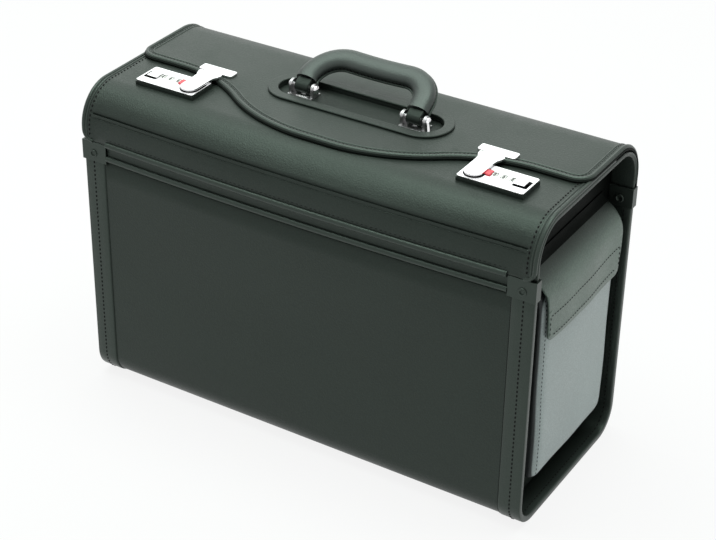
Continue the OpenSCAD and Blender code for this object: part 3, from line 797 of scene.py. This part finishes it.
frontThread = bmesh.new()
trim = bmesh.new()
for side in (-1, 1):
    run = arc(side * (width - corner), low, corner - edgeIn, 270, 270 + side * 90, 6)
    run += [(side * (width - edgeIn), s) for s in evenly(low, reach, 60)[1:]]
    tube(trim, laid(onFlap(-1, frontFlap["edgeSunk"]), run), frontFlap["edge"])
    inner = [(side * frontFlap["foldX"], s) for s in evenly(lowFront, reach, 60)]
    tube(trim, laid(onFlap(-1, frontFlap["foldSunk"]), inner), frontFlap["fold"], 8)
    sewn = [(side * frontFlap["threadX"], s + frontFlap["threadFrom"])
            for s in evenly(lowFront, reach, 80)[:-2]]
    stitch(frontThread, laid(onFlap(-1), sewn), outOfFlap, "flapSide")
finishPiece("front_flap_trim", trim, "binding", "front_lid", ("front_flap_binding",))
bm = bead(bmesh.new(), -flap["beadY"], flap["beadZ"], case["beadHalf"] - flap["beadIn"])
finishPiece("front_flap_bead", bm, "binding", "front_lid", ("front_flap_piping",))
stitch(frontThread, hemRow(-1, lowFront + flap["hemIn"]), outOfFlap, "flapHem")
finishPiece("front_thread", frontThread, "thread", "front_lid")
print("front flap made")

rearFlap = metres({
    "lobeFlat": 15, "lobeFront": 67, "lobeRadius": 150, "blendRadius": 130,
    "corner": 16, "sideIn": 0.3,
    # inset from the edge, height over the face and radius of each bead
    "bead": (1.7, -1.0, 2.35), "fold": (7.4, -0.35, 1.0),
    "underfold": (-0.3, -2.25, 1.2),
    "threadIn": 5.4, "threadOut": -0.05, "threadEnd": 3,
    "slotY": 7, "slotLong": 165, "slotWide": 35, "slotCut": 1, "sleeve": 1.6, "sleeveShort": 0.2,
    "rim": 9.5, "rimHigh": 2.2, "rimSunk": 0.1, "rimRound": 0.9, "bed": 0.3, "cutsTo": 60,
}, turn=37.0)
lowRear = archEnd(case["flapLow"], *rearArch)


def rearEdge(inset):
    # the curved front edge, right half, from the middle outwards
    r = rearFlap
    turn = radians(r["turn"])
    outX = (r["lobeRadius"] + r["blendRadius"]) * sin(turn)
    sideY = -r["lobeFront"] + (r["lobeRadius"] + r["blendRadius"]) * (1 - cos(turn))
    right = case["halfLength"] - r["sideIn"] - inset
    radius = r["corner"] - inset
    points = arc(r["lobeFlat"], r["lobeRadius"] - r["lobeFront"], r["lobeRadius"] - inset,
                 270, 270 + r["turn"], 22)
    points += arc(r["lobeFlat"] + outX, sideY - r["blendRadius"], r["blendRadius"] + inset,
                  90 + r["turn"], 90, 22)
    points += arc(right - radius, sideY + inset + radius, radius, 270, 360, 10)
    return points


def rearOutline(inset, low):
    half = rearEdge(inset)
    half += [(half[-1][0], s) for s in evenly(half[-1][1], low, 50)[1:]]
    return [(-x, y) for x, y in reversed(half)] + half


def rearBead(bm, inset, out, radius, sides=8):
    return tube(bm, laid(onFlap(1, out), rearOutline(inset, lowRear)), radius, sides)


def slotLine(grow, count=26):
    # the handle slot's outline, made larger all round
    long, deep = rearFlap["slotLong"] + grow, rearFlap["slotWide"] + grow
    reach = (long - deep) / 2
    return (arc(reach, rearFlap["slotY"], deep / 2, -90, 90, 2 * count)
            + arc(-reach, rearFlap["slotY"], deep / 2, 90, 270, 2 * count))


flapCover("rear", 1, rearOutline(0.0, lowRear), [slotLine(rearFlap["slotCut"], 18)],
          evenly(-rearFlap["cutsTo"], rearFlap["cutsTo"], 8)[1:-1])
trim = bmesh.new()
rearThread = bmesh.new()
rearBead(trim, *rearFlap["bead"], 10)
rearBead(trim, *rearFlap["fold"])
bead(trim, flap["beadY"], flap["beadZ"], case["beadHalf"] - flap["beadIn"])
finishPiece("rear_flap_trim", trim, "binding", "rear_lid", ("rear_flap_piping", "rear_flap_binding"))
# painted shadow: a near-black roll under the binding's bead, standing a little beyond it, in place of the
# shade there
finishPiece("rear_flap_underfold", rearBead(bmesh.new(), *rearFlap["underfold"]), "painted_shadow_leather", "rear_lid")
row = rearOutline(rearFlap["threadIn"], lowRear - rearFlap["threadEnd"])
stitch(rearThread, laid(onFlap(1, rearFlap["threadOut"]), row), outOfFlap, "flapEdge")
stitch(rearThread, hemRow(1, lowRear - flap["hemIn"]), outOfFlap, "flapHem")
finishPiece("rear_thread", rearThread, "thread", "rear_lid")

# raised rim round the slot, its sleeve, and the bed seen through it; sleeve and bed are in the darker
# leather as painted shade, the bed a dark sheet laid on the front flap where the slot is in shade
top = case["archTop"] + case["rearGrow"]
sunk = rearFlap["rimSunk"]
bm = slab(slotLine(2 * rearFlap["rim"]), [slotLine(0.0)], top - sunk, rearFlap["rimHigh"] + sunk)
soften(finishPiece("slot_rim_cover", bm, "leather", "rear_lid", ("slot_rim",)), rearFlap["rimRound"], 4)
bm = slab(slotLine(rearFlap["sleeve"]), [slotLine(0.0)], top - case["flap"],
          case["flap"] - rearFlap["sleeveShort"])
finishPiece("slot_sleeve", bm, "darker_leather_and_shade", "rear_lid")
bm = slab(slotLine(-rearFlap["slotCut"], 18), (), case["archTop"] + case["frontGrow"], rearFlap["bed"])
finishPiece("slot_painted_shade", bm, "darker_leather_and_shade", "front_lid")
print("rear flap made")

handle = metres({
    "pinY": 5, "pinZ": 314.7, "start": 6.5, "bow": -0.8,
    "wide": 21, "dome": 9, "under": 3.6, "underIn": 0.8, "capInset": 1.5, "capDepth": 0.6,
    # the grip's bends
    "left": {"x": -58.5, "high": 38.2, "bend": 31.5, "foot": -57.7},
    "right": {"x": 56.3, "high": 38.4, "bend": 23.5, "foot": 56.9},
    "seam": 1.15, "seamIn": 0.1, "seamBack": 0.9, "threadIn": 0.35, "threadFront": 1.7,
}, lean=61.0)


def inHandle(x, along, across):
    # from the handle's own plane to the case's frame
    lean = radians(handle["lean"])
    return Vector((x, handle["pinY"] + along * sin(lean) + across * cos(lean),
                   handle["pinZ"] + along * cos(lean) - across * sin(lean)))


def gripLine():
    # points and directions of the grip's middle line, from the right leg to the left
    legs = []
    for name, sign, start in (("right", 1, 0), ("left", -1, 90)):
        end = handle[name]
        cx, cz = end["x"] - sign * end["bend"], end["high"] - end["bend"]
        bend = [((cx + end["bend"] * cos(t), cz + end["bend"] * sin(t)), (-sin(t), cos(t)))
                for t in map(radians, range(start, start + 91, 6))]
        foot = ((end["foot"], handle["start"]), (0.0, float(sign)))
        legs.append([foot] + bend if sign > 0 else bend[:-1] + [foot])
    (before, _), (after, _) = legs[0][-1], legs[1][0]
    across = zip(evenly(before[0], after[0], 14), evenly(before[1], after[1], 14), evenly(0, pi, 14))
    top = [((x, z + handle["bow"] * sin(t)), (-1.0, 0.0)) for x, z, t in across]
    return legs[0] + top[1:-1] + legs[1]


def gripFrame(point, direction):
    # Z of the frame runs along the grip, X outwards in the handle's plane, Y across it
    centre = inHandle(point[0], point[1], 0)
    along = inHandle(point[0] + direction[0], point[1] + direction[1], 0) - centre
    across = inHandle(point[0], point[1], 1) - centre
    return axes(across.cross(along), across, along, centre)


def gripSection():
    # domed towards the front, nearly flat behind, where its two halves are sewn together
    points = []
    for a in evenly(0, 2 * pi, 30)[:-1]:
        c, n = cos(a), sin(a)
        if n <= 0:
            points.append((copysign(abs(c) ** 0.86, c) * handle["wide"] / 2,
                           handle["dome"] * -(abs(n) ** 0.8)))
        else:
            points.append((copysign(abs(c) ** 0.7, c) * (handle["wide"] / 2 - handle["underIn"]),
                           handle["under"] * abs(n) ** 0.7))
    return points


frames = [gripFrame(point, direction) for point, direction in gripLine()]
bm = bmesh.new()
verts = [bm.verts.new(frames[0] @ Vector((x, y, 0))) for x, y in gripSection()]
ring = [bm.edges.new(pair) for pair in zip(verts, verts[1:] + verts[:1])]
for end in sweep(bm, ring, frames):
    cap = bmesh.ops.edgeloop_fill(bm, edges=end)["faces"]
    bmesh.ops.inset_region(bm, faces=cap, thickness=handle["capInset"], depth=handle["capDepth"])
cover = finishPiece("grip_cover", bm, "grip_lit_leather", "handle", ("handle_grip", "handle_core"), angle=50)
gripSeams = bmesh.new()
gripThread = bmesh.new()
for sign in (-1, 1):
    edge = handle["wide"] / 2
    seam = [f @ Vector((sign * (edge - handle["seamIn"]), handle["seamBack"], 0)) for f in frames]
    tube(gripSeams, seam, handle["seam"], 8)
    row = [f @ Vector((sign * (edge - handle["threadIn"]), -handle["threadFront"], 0)) for f in frames]
    ways = [(f.to_3x3() @ Vector((sign, -0.4, 0))).normalized() for f in frames]

    def sideways(spot):
        return ways[min(range(len(row)), key=lambda i: (row[i] - spot).length)]

    stitch(gripThread, row, sideways, "grip")
finishPiece("grip_seams", gripSeams, "binding", "handle", slot="leather")
finishPiece("grip_thread", gripThread, "thread", "handle")

# leather loops round the pins: a section in the handle's plane, drawn out along X
loop = metres({"x": 57.5, "wide": 14, "radius": 5.75, "bore": 2.26, "high": 6.4})
section = arc(0, 0, loop["radius"], 180, 360, 18)
section += [(loop["radius"], loop["high"]), (-loop["radius"], loop["high"])]
bm = bmesh.new()
for side in (-1, 1):
    part = slab(section, [arc(0, 0, loop["bore"], 0, 342, 19)], 0.0, loop["wide"])
    for vert in part.verts:
        vert.co = inHandle(side * loop["x"] + vert.co.z - loop["wide"] / 2, vert.co.y, vert.co.x)
    mesh = bpy.data.meshes.new("loopPart")
    part.to_mesh(mesh)
    part.free()
    bm.from_mesh(mesh)
    bpy.data.meshes.remove(mesh)
loops = finishPiece("handle_loop_covers", bm, "darker_leather_and_shade", "handle", ("handle_loops",))
soften(loops, 0.9 * mm, 3, 50)

# brackets, pins and rivets
mounts = metres({
    "round": 0.35,
    "toeAt": (-55.8, -0.6, 308.3), "toe": (11.5, 3.0, 0.9),
    "headX": (-70, -45, 45, 70), "head": (2.9, 4.0, 4.0),
    "strap": ((2.2, 316.5), (1.2, 314.0), (-1.0, 311.0), (-3.4, 308.2)), "strapX": (70.2, 72.6),
    "strapThick": 1.0,
}, strapLean=0.55)
# handle brackets in the darker copy of chrome, painted shade
for word in ("left_handle_bracket", "right_handle_bracket"):
    dressed(word, mounts["round"], "bracket_shaded_chrome")
dressed("handle_pins", mounts["round"])
# bright front edge of the left bracket's foot
bm = block(bmesh.new(), mounts["toeAt"], mounts["toe"])
soften(finishPiece("bracket_toe", bm, "chrome", "front_lid"), 0.25 * mm)
dressed("handle_rivets", 0, "black_metal")
bm = bmesh.new()
for x in mounts["headX"]:
    turn = Matrix.Translation((x, handle["pinY"], handle["pinZ"])) @ Matrix.Diagonal((*mounts["head"], 1))
    bmesh.ops.create_uvsphere(bm, u_segments=20, v_segments=12, radius=1, matrix=turn)
finishPiece("pin_heads", bm, "chrome", "front_lid", angle=80)
bm = ribbon(mounts["strap"], *mounts["strapX"], 2)
for vert in bm.verts:
    vert.co.x += mounts["strapLean"] * (mounts["strap"][0][1] - vert.co.z)
bmesh.ops.solidify(bm, geom=bm.faces[:], thickness=mounts["strapThick"])
soften(finishPiece("bracket_strap", bm, "chrome", "front_lid"), 0.3 * mm)
print("handle made")

# locks: places are from a lock's middle, outwards and backwards, and from the floor
lock = metres({
    # middle, width, depth and corner radius of outlines
    "plate": (0, 0, 62.3, 30.8, 2.2), "skirt": (0, 0, 61.7, 30.2, 2.0),
    "catchHole": (-20.5, -8, 7.2, 6.6, 0.8),
    "slideHole": (22.6, 0, 13.6, 13.6, 1.2), "slideWell": (23.4, 0, 9.6, 5.6, 0.8),
    "dialHole": (0, 2.5, 5.2, 7.4, 0.8), "dialWell": (0, 2.5, 5.4, 8.6, 0.8),
    "plateZ": 310.9, "plateThick": 0.8, "skirtZ": 310.2, "skirtThick": 0.7,
    # middle and size of blocks
    "button": ((21.2, 0.9, 312.4), (10.6, 11.4, 1.3)), "neck": ((21.4, 0, 310.9), (5, 5, 2.4)),
    "rib": ((21.2, 0.9, 313.1), (0.8, 9, 0.5)), "ribPitch": 1.7,
    "tell": ((-8.9, 1.9, 312.1), (5.4, 8.6, 1.6)),
})
dial = metres({
    "places": (-3.75, 4.55, 12.85), "y": -42, "z": 307.7, "radius": 4.6, "wide": 4.6, "notch": 0.45,
    "digit": 4.5, "relief": 0.06,
}, shown=4)
# outlines are from the hasp's middle line; the head is its plate on the rear flap
hasp = metres({
    "out": -20.5, "stemZ": 312.0, "stemThick": 2.1, "tip": (0, -48.3, 8.7),
    "stem": ((8.0, -13.7), (8.4, -14.4), (11.6, -15.0), (12.3, -17.2), (11.2, -20.8), (9.2, -25.0),
             (8.7, -30.0)),
    "headZ": 310.05, "headThick": 2.2,
    "head": ((0, 1.1), (16.4, 1.1), (17.6, 0.5), (18.2, -0.8), (18.2, -7.6), (17.4, -9.4), (15.8, -10.2),
             (8.8, -10.2), (8.5, -11.6), (5.2, -11.6), (5.0, -12.6), (0, -12.6)),
    "hook": ((-20.5, -9.2, 309.4), (6, 3, 5.6)), "pinY": -14.5, "pinZ": 312.5,
    "knuckle": 1.6, "knuckleAt": (-8.4, -2, 2, 8.4), "pin": 0.9, "pinAt": (-8.9, 0, 8.9),
    # painted shadow under the stem's end: shift outwards, round end, straight corner, height and thickness
    "padOut": 0.35, "pad": (0, -48.5, 9.5), "padCorner": (9.2, -36.0), "padZ": 311.72, "padThick": 0.3,
})


def lockBlock(bm, side, middle, size, shift=0.0):
    x, y, z = middle
    return block(bm, (side * (case["lockX"] + x + shift), case["lockY"] + y, z), size)


def acrossHasp(middle, places, radius, sides):
    return tube(bmesh.new(), [(middle + a, hasp["pinY"], hasp["pinZ"]) for a in places], radius, sides)


def digitMesh(number):
    curve = bpy.data.curves.new("digit", "FONT")
    curve.body = str(number)
    curve.size = dial["digit"]
    curve.offset = curve.extrude = dial["relief"]
    curve.align_x = "CENTER"
    curve.align_y = "CENTER"
    holder = placed("digit", curve)
    flat = bpy.data.meshes.new_from_object(holder)
    bpy.data.objects.remove(holder)
    bpy.data.curves.remove(curve)
    return flat


def makeDial(word, letter, at):
    bm = bmesh.new()
    centre = Matrix.Translation((at, dial["y"], dial["z"]))
    bmesh.ops.create_cone(bm, cap_ends=True, segments=60, radius1=dial["radius"], radius2=dial["radius"],
                          depth=dial["wide"], matrix=centre @ Matrix.Rotation(pi / 2, 4, "Y"))
    for vert in bm.verts:
        away = Vector((0, vert.co.y - dial["y"], vert.co.z - dial["z"]))
        if cos(10 * atan2(away.z, away.y)) > 0.8:    # ten finger notches
            vert.co -= away.normalized() * dial["notch"]
    wheel = finishPiece(f"{word}_number_wheel_{letter}", bm, "dial_plastic", f"{word}_wheel_{letter}",
                        (f"{word}_dial_{letter}",))
    soften(wheel, 0.2 * mm, 2, 50)
    digits = bmesh.new()
    for number in range(10):
        flat = digitMesh(number)
        flat.transform(centre @ Matrix.Rotation(radians(36 * (number - dial["shown"])), 4, "X")
                       @ Matrix.Translation((0, 0, dial["radius"])))
        digits.from_mesh(flat)
        bpy.data.meshes.remove(flat)
    finishPiece(f"{word}_digits_{letter}", digits, "dial_ink", f"{word}_wheel_{letter}")


for side, word in sides:
    dressed(word + "_lock_base", 0.4 * mm)
    arm = word + "_hasp_arm"
    # dark side wall under a thin plate, near-black as painted shadow and dark reflection of the lock's
    # sides
    catchHole = lockShape(side, lock["catchHole"], 3)
    wells = [lockShape(side, lock["dialWell"], 3, place) for place in dial["places"]]
    wells += [lockShape(side, lock["slideWell"], 3), catchHole]
    bm = slab(lockShape(side, lock["skirt"], 6), wells, lock["skirtZ"], lock["skirtThick"])
    finishPiece(word + "_lock_skirt", bm, "lock_skirt", "front_lid")
    holes = [lockShape(side, lock["dialHole"], 3, place) for place in dial["places"]]
    holes += [lockShape(side, lock["slideHole"], 4), catchHole]
    bm = slab(lockShape(side, lock["plate"], 6), holes, lock["plateZ"], lock["plateThick"])
    face = finishPiece(word + "_lock_face", bm, "lock_cover_metal", "front_lid", (word + "_lock_cover",))
    soften(face, 0.3 * mm, 3)
    # slide button with grip ribs
    bm = lockBlock(bmesh.new(), side, *lock["button"])
    lockBlock(bm, side, *lock["neck"])
    for i in (-2, -1, 0, 1, 2):
        lockBlock(bm, side, *lock["rib"], i * lock["ribPitch"])
    slide = finishPiece(word + "_slide_button", bm, "chrome", word + "_slide", (word + "_button",))
    soften(slide, 0.25 * mm, 3)
    # hasp: waisted at the hinge, then a stem with a round end and its catch
    x = side * (case["lockX"] + hasp["out"])
    stem = [*hasp["stem"], *arc(*hasp["tip"], 0, -180, 12), *((-a, b) for a, b in hasp["stem"][::-1])]
    bm = slab(shifted(stem, x), (), hasp["stemZ"], hasp["stemThick"])
    soften(finishPiece(word + "_hasp_stem", bm, "chrome", arm, (word + "_hasp",)), 0.8 * mm, 4)
    bm = acrossHasp(x, hasp["knuckleAt"], hasp["knuckle"], 20)
    soften(finishPiece(word + "_hasp_knuckle", bm, "chrome", arm), 0.3 * mm)
    bm = lockBlock(bmesh.new(), side, *hasp["hook"])
    soften(finishPiece(word + "_hasp_catch", bm, "steel", arm, slot="chrome"), 0.4 * mm)
    # the hasp's plate on the rear flap: a low cushion of metal
    head = [*hasp["head"], *((-a, b) for a, b in hasp["head"][-2:0:-1])]
    bm = slab(shifted(head, x), (), hasp["headZ"], hasp["headThick"])
    soften(finishPiece(word + "_hasp_head", bm, "chrome", "rear_lid", (word + "_hasp_plate",)), 0.5 * mm, 3)
    bm = acrossHasp(x, hasp["pinAt"], hasp["pin"], 12)
    finishPiece(word + "_hasp_axle", bm, "steel", "rear_lid", ("hasp_pins",) if side > 0 else ())
    # painted shadow: a near-black sheet under the stem's end, reaching out beside it
    a, b = hasp["padCorner"]
    pad = [(a, b), *arc(*hasp["pad"], 0, -180, 12), (-a, b)]
    bm = slab(shifted(pad, x + hasp["padOut"]), (), hasp["padZ"], hasp["padThick"])
    finishPiece(word + "_hasp_pad", bm, "lock_skirt", arm)
    # red tell-tale
    bm = lockBlock(bmesh.new(), side, *lock["tell"])
    shows = ("lock_indicators",) if side > 0 else ()
    soften(finishPiece(word + "_tell_tale", bm, "red_plastic", "front_lid", shows), 0.6 * mm, 3)
    for letter, place in zip("abc", dial["places"]):
        makeDial(word, letter, side * (case["lockX"] + place))
print("locks made")

# end pockets: a bag that billows in front and draws in at the gussets
pouch = metres({
    "half": 72, "low": 34, "top": 238, "back": 208.4, "front": 226.6, "wall": 1.6,
    "billow": 1.3, "wave": 1.1, "drift": 1.5,
    "edge": 6, "edgeRound": 4.5,     # rounding of the front's sides and foot
    "gusset": 3.5, "gussetFrom": 60,
    "slackFrom": 30, "slackRear": 6, "slackFront": 5.5, "slackLow": 4.5, "slackTop": 210,
    "tuck": 7.5, "tuckFrom": 212,    # the top is drawn in under its flap
    "threadY": 68.5, "threadUp": 5, "threadLong": 196,
})
# its flap: from a seam on the end panel over a shoulder, then hanging
pouchFlap = metres({
    "line": ((208.6, 256.0), (209.2, 253.4), (211.0, 250.8), (214.4, 248.6), (218.6, 245.0), (222.6, 240.0),
             (225.9, 234.0), (228.2, 227.6), (229.0, 221.0)),
    "hem": 182.0, "thick": 1.8, "flatWide": 154.5, "half": 80,
    "front": ((-73, 0), (-74.5, 12), (-71, 24), (-66.5, 36), (-64, 52), (-63, 66)),
    "rear": ((79.5, 60), (80, 46), (78, 30), (75, 14), (73, 0)),
    "freeFrom": 8, "freeTo": 60, "ripple": 2.0, "bulge": 1.8, "press": 0.4,
    "tape": ((209.2, 256.8), (210.0, 253.8), (211.6, 251.5), (215.0, 249.3)), "tapeHalf": 73.5,
    "tapeThick": 0.7,
    # lower corners: along the hem, height over it and radius
    "corners": ((-56, 6, 6.5), (70, 3.5, 7)),
    "band": 24, "bandEnds": (-60, 76), "bandOut": 0.5, "bandUp": 4, "hemEnds": (-55, 69), "hemUp": 3.5,
})


def billow(point):
    p = pouch
    front = smooth(point.x, p["back"], p["front"])
    across = 1 - (point.y / p["half"]) ** 2
    upward = sin(pi * min(1, max(0, (point.z - p["low"]) / (p["top"] - p["low"]))))
    wave = noise.noise(Vector((point.y * 22, point.z * 15, 3.7))) * p["wave"]
    edgeY = smooth(abs(point.y), p["half"] - p["edge"], p["half"])
    edgeZ = 1 - smooth(point.z, p["low"], p["low"] + p["edge"])
    rounded = p["edgeRound"] * (edgeY ** 3 + 0.4 * edgeZ ** 3) * front
    gusset = p["gusset"] * sin(pi * front) * smooth(abs(point.y), p["gussetFrom"], p["half"])
    slack = smooth(abs(point.y), p["slackFrom"], p["half"]) * front
    if point.y < 0:
        slack *= p["slackFront"] + p["slackLow"] * (1 - smooth(point.z, p["low"], p["slackTop"]))
    else:
        slack *= p["slackRear"]
    tucked = p["tuck"] * smooth(point.z, p["tuckFrom"], p["top"]) * front
    drift = p["drift"] * noise.noise(Vector((point.z * 18, point.y * 3, 9.1))) * front
    return Vector((point.x + front * (p["billow"] * across * upward + wave * across) - rounded - tucked,
                   point.y - copysign(gusset, point.y) + slack + drift, point.z))


flapLine = pouchFlap["line"]
along = lengths([Vector((x, 0, z)) for x, z in flapLine])
drop = along[-1] + flapLine[-1][1] - pouchFlap["hem"]    # the flap's flat length


def flapPoint(s):
    if s >= along[-1]:
        return flapLine[-1][0], flapLine[-1][1] - (s - along[-1])
    k = max(i for i in range(len(along) - 1) if along[i] <= s)
    t = (s - along[k]) / (along[k + 1] - along[k])
    (x, z), (nextX, nextZ) = flapLine[k], flapLine[k + 1]
    return x + (nextX - x) * t, z + (nextZ - z) * t


def hang(point):
    # from the flat flap, where x is along the case's depth and y down the flap
    x, z = flapPoint(point.y)
    free = smooth(point.y, pouchFlap["freeFrom"], pouchFlap["freeTo"])
    ripple = noise.noise(Vector((point.x * 20, point.y * 9, 5.3))) * pouchFlap["ripple"] * free
    bulge = pouchFlap["bulge"] * free * (1 - (point.x / pouchFlap["half"]) ** 2)
    return Vector((x + max(-pouchFlap["press"], ripple + bulge), point.x, z))


def sewOn(bm, side, points):
    path = [Vector((side * (p.x + threadOut), p.y, p.z)) for p in points]
    stitch(bm, path, lambda spot: Vector((side, 0, 0)), "pocket")


pocketThread = bmesh.new()
for side, word in sides:
    span = (pouch["front"] - pouch["back"], 2 * pouch["half"], pouch["top"] - pouch["low"])
    middle = ((pouch["back"] + pouch["front"]) / 2, 0, (pouch["low"] + pouch["top"]) / 2)
    bm = block(bmesh.new(), Vector(middle), span)
    bmesh.ops.delete(bm, geom=[f for f in bm.faces if f.normal.z > 0.5], context="FACES_ONLY")
    for axis, least, cuts in ((2, 100 * mm, 24), (1, 100 * mm, 18), (0, 15 * mm, 4)):
        longer = [e for e in bm.edges if abs(e.verts[0].co[axis] - e.verts[1].co[axis]) > least]
        bmesh.ops.subdivide_edges(bm, edges=longer, cuts=cuts, use_grid_fill=True)
    reshape(bm, billow)
    bag = finishPiece(word + "_pouch", mirrored(bm, side), "pouch_lit_leather", "case", (word + "_pocket",),
                      recalc=False, angle=70)
    thicken(bag, pouch["wall"])
    fine = bag.modifiers.new("round", "SUBSURF")
    fine.render_levels = 1

    lid = word + "_pocket_lid"
    outward = Vector((side, 0, 0.4))
    outline = [*pouchFlap["front"]]
    for (y, raised, radius), start in zip(pouchFlap["corners"], (180, 90)):
        outline += arc(y, drop - raised, radius, start, start - 90, 5)
    outline += pouchFlap["rear"]
    bm = filled(outline)
    cutAcross(bm, 0, evenly(-pouchFlap["half"], pouchFlap["half"], 30)[1:-1])
    cutAcross(bm, 1, evenly(0, drop, 26)[1:-1])
    reshape(bm, hang)
    cover = bentSheet(word + "_pouch_flap", mirrored(bm, side), "pocket_leather", lid,
                      word + "_pocket_flap", pouchFlap["thick"], lambda point: outward, 70)
    # tape over the seam that holds the flap to the end, dark with the panel leather's painted shade
    bm = ribbon(pouchFlap["tape"], -pouchFlap["tapeHalf"], pouchFlap["tapeHalf"], 10)
    reshape(bm, lambda point: point.yxz)
    facing(mirrored(bm, side), lambda point: outward)
    bmesh.ops.solidify(bm, geom=bm.faces[:], thickness=pouchFlap["tapeThick"])
    finishPiece(word + "_flap_tape", bm, "panel_leather", lid)
    corners = zip(outline, outline[1:] + outline[:1])
    abs(sum(a[0] * b[1] - b[0] * a[1] for a, b in corners)) / 2
    print(word, "pocket flap, cut to", round(pouchFlap["flatWide"] / mm, 1), "x", round(drop / mm, 1), "mm")

    flapThread = bmesh.new()
    bandTop = drop - pouchFlap["band"]
    bandSide = evenly(bandTop, drop - pouchFlap["bandUp"], 6)
    first, last = pouchFlap["bandEnds"]
    for row in ([(y, bandTop) for y in evenly(first, last, 40)],
                [(first - pouchFlap["bandOut"], s) for s in bandSide],
                [(last + pouchFlap["bandOut"], s) for s in bandSide],
                [(y, drop - pouchFlap["hemUp"]) for y in evenly(*pouchFlap["hemEnds"], 40)]):
        sewOn(flapThread, side, laid(hang, row))
    finishPiece(word + "_flap_thread", flapThread, "thread", lid)
    start = pouch["low"] + pouch["threadUp"]
    for y in (-pouch["threadY"], pouch["threadY"]):
        rise = evenly(start, start + pouch["threadLong"], 40)
        sewOn(pocketThread, side, [billow(Vector((pouch["front"], y, z))) for z in rise])
finishPiece("pocket_thread", pocketThread, "thread", "case")
print("pockets made")

stage = {
    "floor": 6.0, "glow": 0.86, "dim": 0.28, "lampTint": (0.90, 1.0, 0.94),
    # watts, place, aim, width and height of each lamp
    "lamps": {"behind": (17, (-1.15, 1.91, 1.65), (0, 0, 0.3), 3.0, 2.0),
              "overhead": (31, (-0.6, -0.15, 2.2), (0, 0, 0.3), 1.6, 1.6),
              "right_top": (19, (0.5, 0.35, 2.25), (0.15, 0, 0.2), 1.1, 1.1)},
}


def paper():
    # a card that shows nearly white to the eye and in metal, but keeps the case's shadow
    card = Finish("backdrop")
    body = card.node("ShaderNodeBsdfPrincipled", {
        "Base Color": card.blend(card.noise(40, 2), grey(0.88), grey(0.90)), "Roughness": 0.9,
        "Specular IOR Level": 0.0})
    light = card.node("ShaderNodeEmission", {"Color": grey(1.0), "Strength": 1.0})
    mixed = card.node("ShaderNodeMixShader", {0: card.seen() * stage["glow"], 1: body, 2: light})
    card.node("ShaderNodeOutputMaterial", {"Surface": mixed})
    return card.material


bm = bmesh.new()
bmesh.ops.create_grid(bm, x_segments=8, y_segments=8, size=stage["floor"])
mesh = bpy.data.meshes.new("floor")
bm.to_mesh(mesh)
bm.free()
mesh.materials.append(paper())
placed("floor", mesh)

world = bpy.data.worlds.new("studio")
scene.world = world
sky = Finish("studio", world)
dim = sky.node("ShaderNodeBackground", {"Color": (0.97, 1.0, 1.0, 1.0), "Strength": stage["dim"]})
bright = sky.node("ShaderNodeBackground", {"Color": grey(1.0), "Strength": 1.0})
mixed = sky.node("ShaderNodeMixShader", {0: sky.seen(), 1: dim, 2: bright})
sky.node("ShaderNodeOutputWorld", {"Surface": mixed})

for name, (power, place, aim, wide, high) in stage["lamps"].items():
    light = bpy.data.lights.new(name, "AREA")
    light.energy = power
    light.color = stage["lampTint"]
    light.shape = "RECTANGLE"
    light.size = wide
    light.size_y = high
    lamp = placed(name, light)
    lamp.location = place
    lamp.rotation_euler = (Vector(aim) - Vector(place)).to_track_quat("-Z", "Y").to_euler()

# camera solved from the case's straight edges in the photograph
shot = {
    "azimuth": 31.058, "elevation": 31.405, "roll": 0.99, "pixels": 1879.2, "imageWidth": 716, "sensor": 36,
    "distance": 1.728737, "aside": -0.004242, "above": 0.013379, "aim": (0, 0, 0.160),
}
azimuth = radians(shot["azimuth"])
elevation = radians(shot["elevation"])
roll = radians(shot["roll"])
back = Vector((sin(azimuth) * cos(elevation), -cos(azimuth) * cos(elevation),
               sin(elevation)))
right = (-back).cross(Vector((0, 0, 1))).normalized()
up = right.cross(-back)
tilted = right * cos(roll) + up * sin(roll)
upright = up * cos(roll) - right * sin(roll)
spot = Vector(shot["aim"]) + back * shot["distance"] - tilted * shot["aside"] - upright * shot["above"]
lens = bpy.data.cameras.new("view")
lens.sensor_width = shot["sensor"]
lens.lens = shot["sensor"] * shot["pixels"] / shot["imageWidth"]
camera = placed("view", lens)
camera.matrix_world = axes(tilted, upright, back, spot)
scene.camera = camera
print("stage set")
